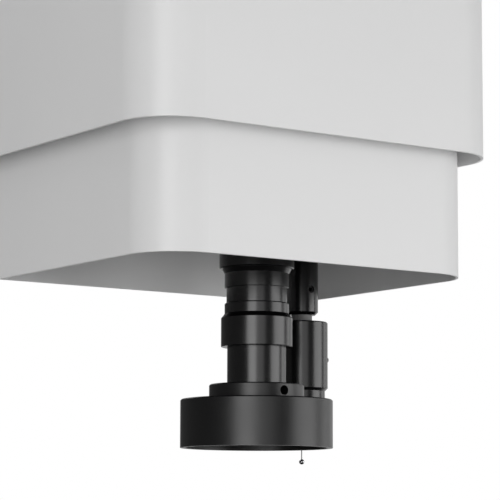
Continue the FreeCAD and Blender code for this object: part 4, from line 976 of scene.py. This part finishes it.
def makeFloor():  # one-sided pale floor, clear from below and plain white to the camera
    material = bpy.data.materials.new("paleFloor")
    material.use_nodes = True
    tree = material.node_tree
    tree.nodes.clear()
    path = addNode(tree, "ShaderNodeLightPath").outputs
    below = addNode(tree, "ShaderNodeNewGeometry").outputs["Backfacing"]
    noise = addNode(tree, "ShaderNodeTexNoise", {"Scale": studio["tintScale"], "Detail": 4.0})
    tint = mixColours(tree, noise.outputs["Fac"], *studio["floorTints"])
    matt = addNode(tree, "ShaderNodeBsdfDiffuse", {"Color": tint}).outputs[0]
    white = addNode(tree, "ShaderNodeEmission", plainWhite).outputs[0]
    seen = addMath(tree, "MULTIPLY", path["Is Camera Ray"], studio["floorWhite"])
    place = addNode(tree, "ShaderNodeNewGeometry").outputs["Position"]
    way = addVectorMath(tree, "NORMALIZE", addVectorMath(tree, "SUBTRACT", place, aim))
    glow = {"Color": (1, 1, 1, 1), "Strength": glowFrom(tree, way)}
    dim = addNode(tree, "ShaderNodeEmission", glow).outputs[0]
    lost = addMath(tree, "MULTIPLY", path["Is Glossy Ray"], 1.0 - studio["floorGloss"])
    shown = addNode(tree, "ShaderNodeMixShader", {0: lost, 1: matt, 2: dim}).outputs[0]
    top = addNode(tree, "ShaderNodeMixShader", {0: seen, 1: shown, 2: white}).outputs[0]
    clear = addNode(tree, "ShaderNodeBsdfTransparent").outputs[0]
    both = addNode(tree, "ShaderNodeMixShader", {0: below, 1: top, 2: clear}).outputs[0]
    addNode(tree, "ShaderNodeOutputMaterial", {"Surface": both})
    mesh = bpy.data.meshes.new("floor")
    half, z = studio["floorSize"] / 2, studio["floorZ"]
    corners = [(-half, -half, z), (half, -half, z), (half, half, z), (-half, half, z)]
    mesh.from_pydata(corners, [], [(0, 1, 2, 3)])
    mesh.materials.append(material)
    floor = bpy.data.objects.new("floor", mesh)
    bpy.context.scene.collection.objects.link(floor)


def makeWorld():  # white to the camera and through glass, and otherwise dim, brightest behind
    world = bpy.data.worlds.new("studio")
    world.use_nodes = True
    bpy.context.scene.world = world
    tree = world.node_tree
    tree.nodes.clear()
    path = addNode(tree, "ShaderNodeLightPath").outputs
    direction = addNode(tree, "ShaderNodeTexCoord").outputs["Generated"]
    sky = addRange(tree, heightOf(tree, direction), studio["skySpan"], (studio["surround"], studio["sky"]))
    spread = addMath(tree, "MULTIPLY", path["Is Diffuse Ray"], sky)
    level = addMath(tree, "ADD", glowFrom(tree, direction), spread)
    soft = addNode(tree, "ShaderNodeBackground", {"Color": (1, 1, 1, 1), "Strength": level}).outputs[0]
    white = addNode(tree, "ShaderNodeBackground", plainWhite).outputs[0]
    seen = addMath(tree, "MAXIMUM", path["Is Camera Ray"], path["Is Transmission Ray"])
    both = addNode(tree, "ShaderNodeMixShader", {0: seen, 1: soft, 2: white}).outputs[0]
    addNode(tree, "ShaderNodeOutputWorld", {"Surface": both})


def addSoftbox(name, box):  # area light aimed at the head
    way = wayFrom(box["angle"], box["rise"])
    lamp = bpy.data.lights.new(name, "AREA")
    lamp.shape = "RECTANGLE"
    lamp.size = box["width"]
    lamp.size_y = box["height"]
    lamp.energy = box["power"]
    holder = bpy.data.objects.new(name, lamp)
    holder.location = aim + way * box["distance"]
    holder.rotation_mode = "QUATERNION"
    holder.rotation_quaternion = (-way).to_track_quat("-Z", "Y")
    bpy.context.scene.collection.objects.link(holder)


makeFloor()
makeWorld()
for name, box in softboxes.items():
    addSoftbox(name, box)
bpy.context.scene.view_settings.view_transform = "Standard"
print("stage: floor, world and", len(softboxes), "softboxes")
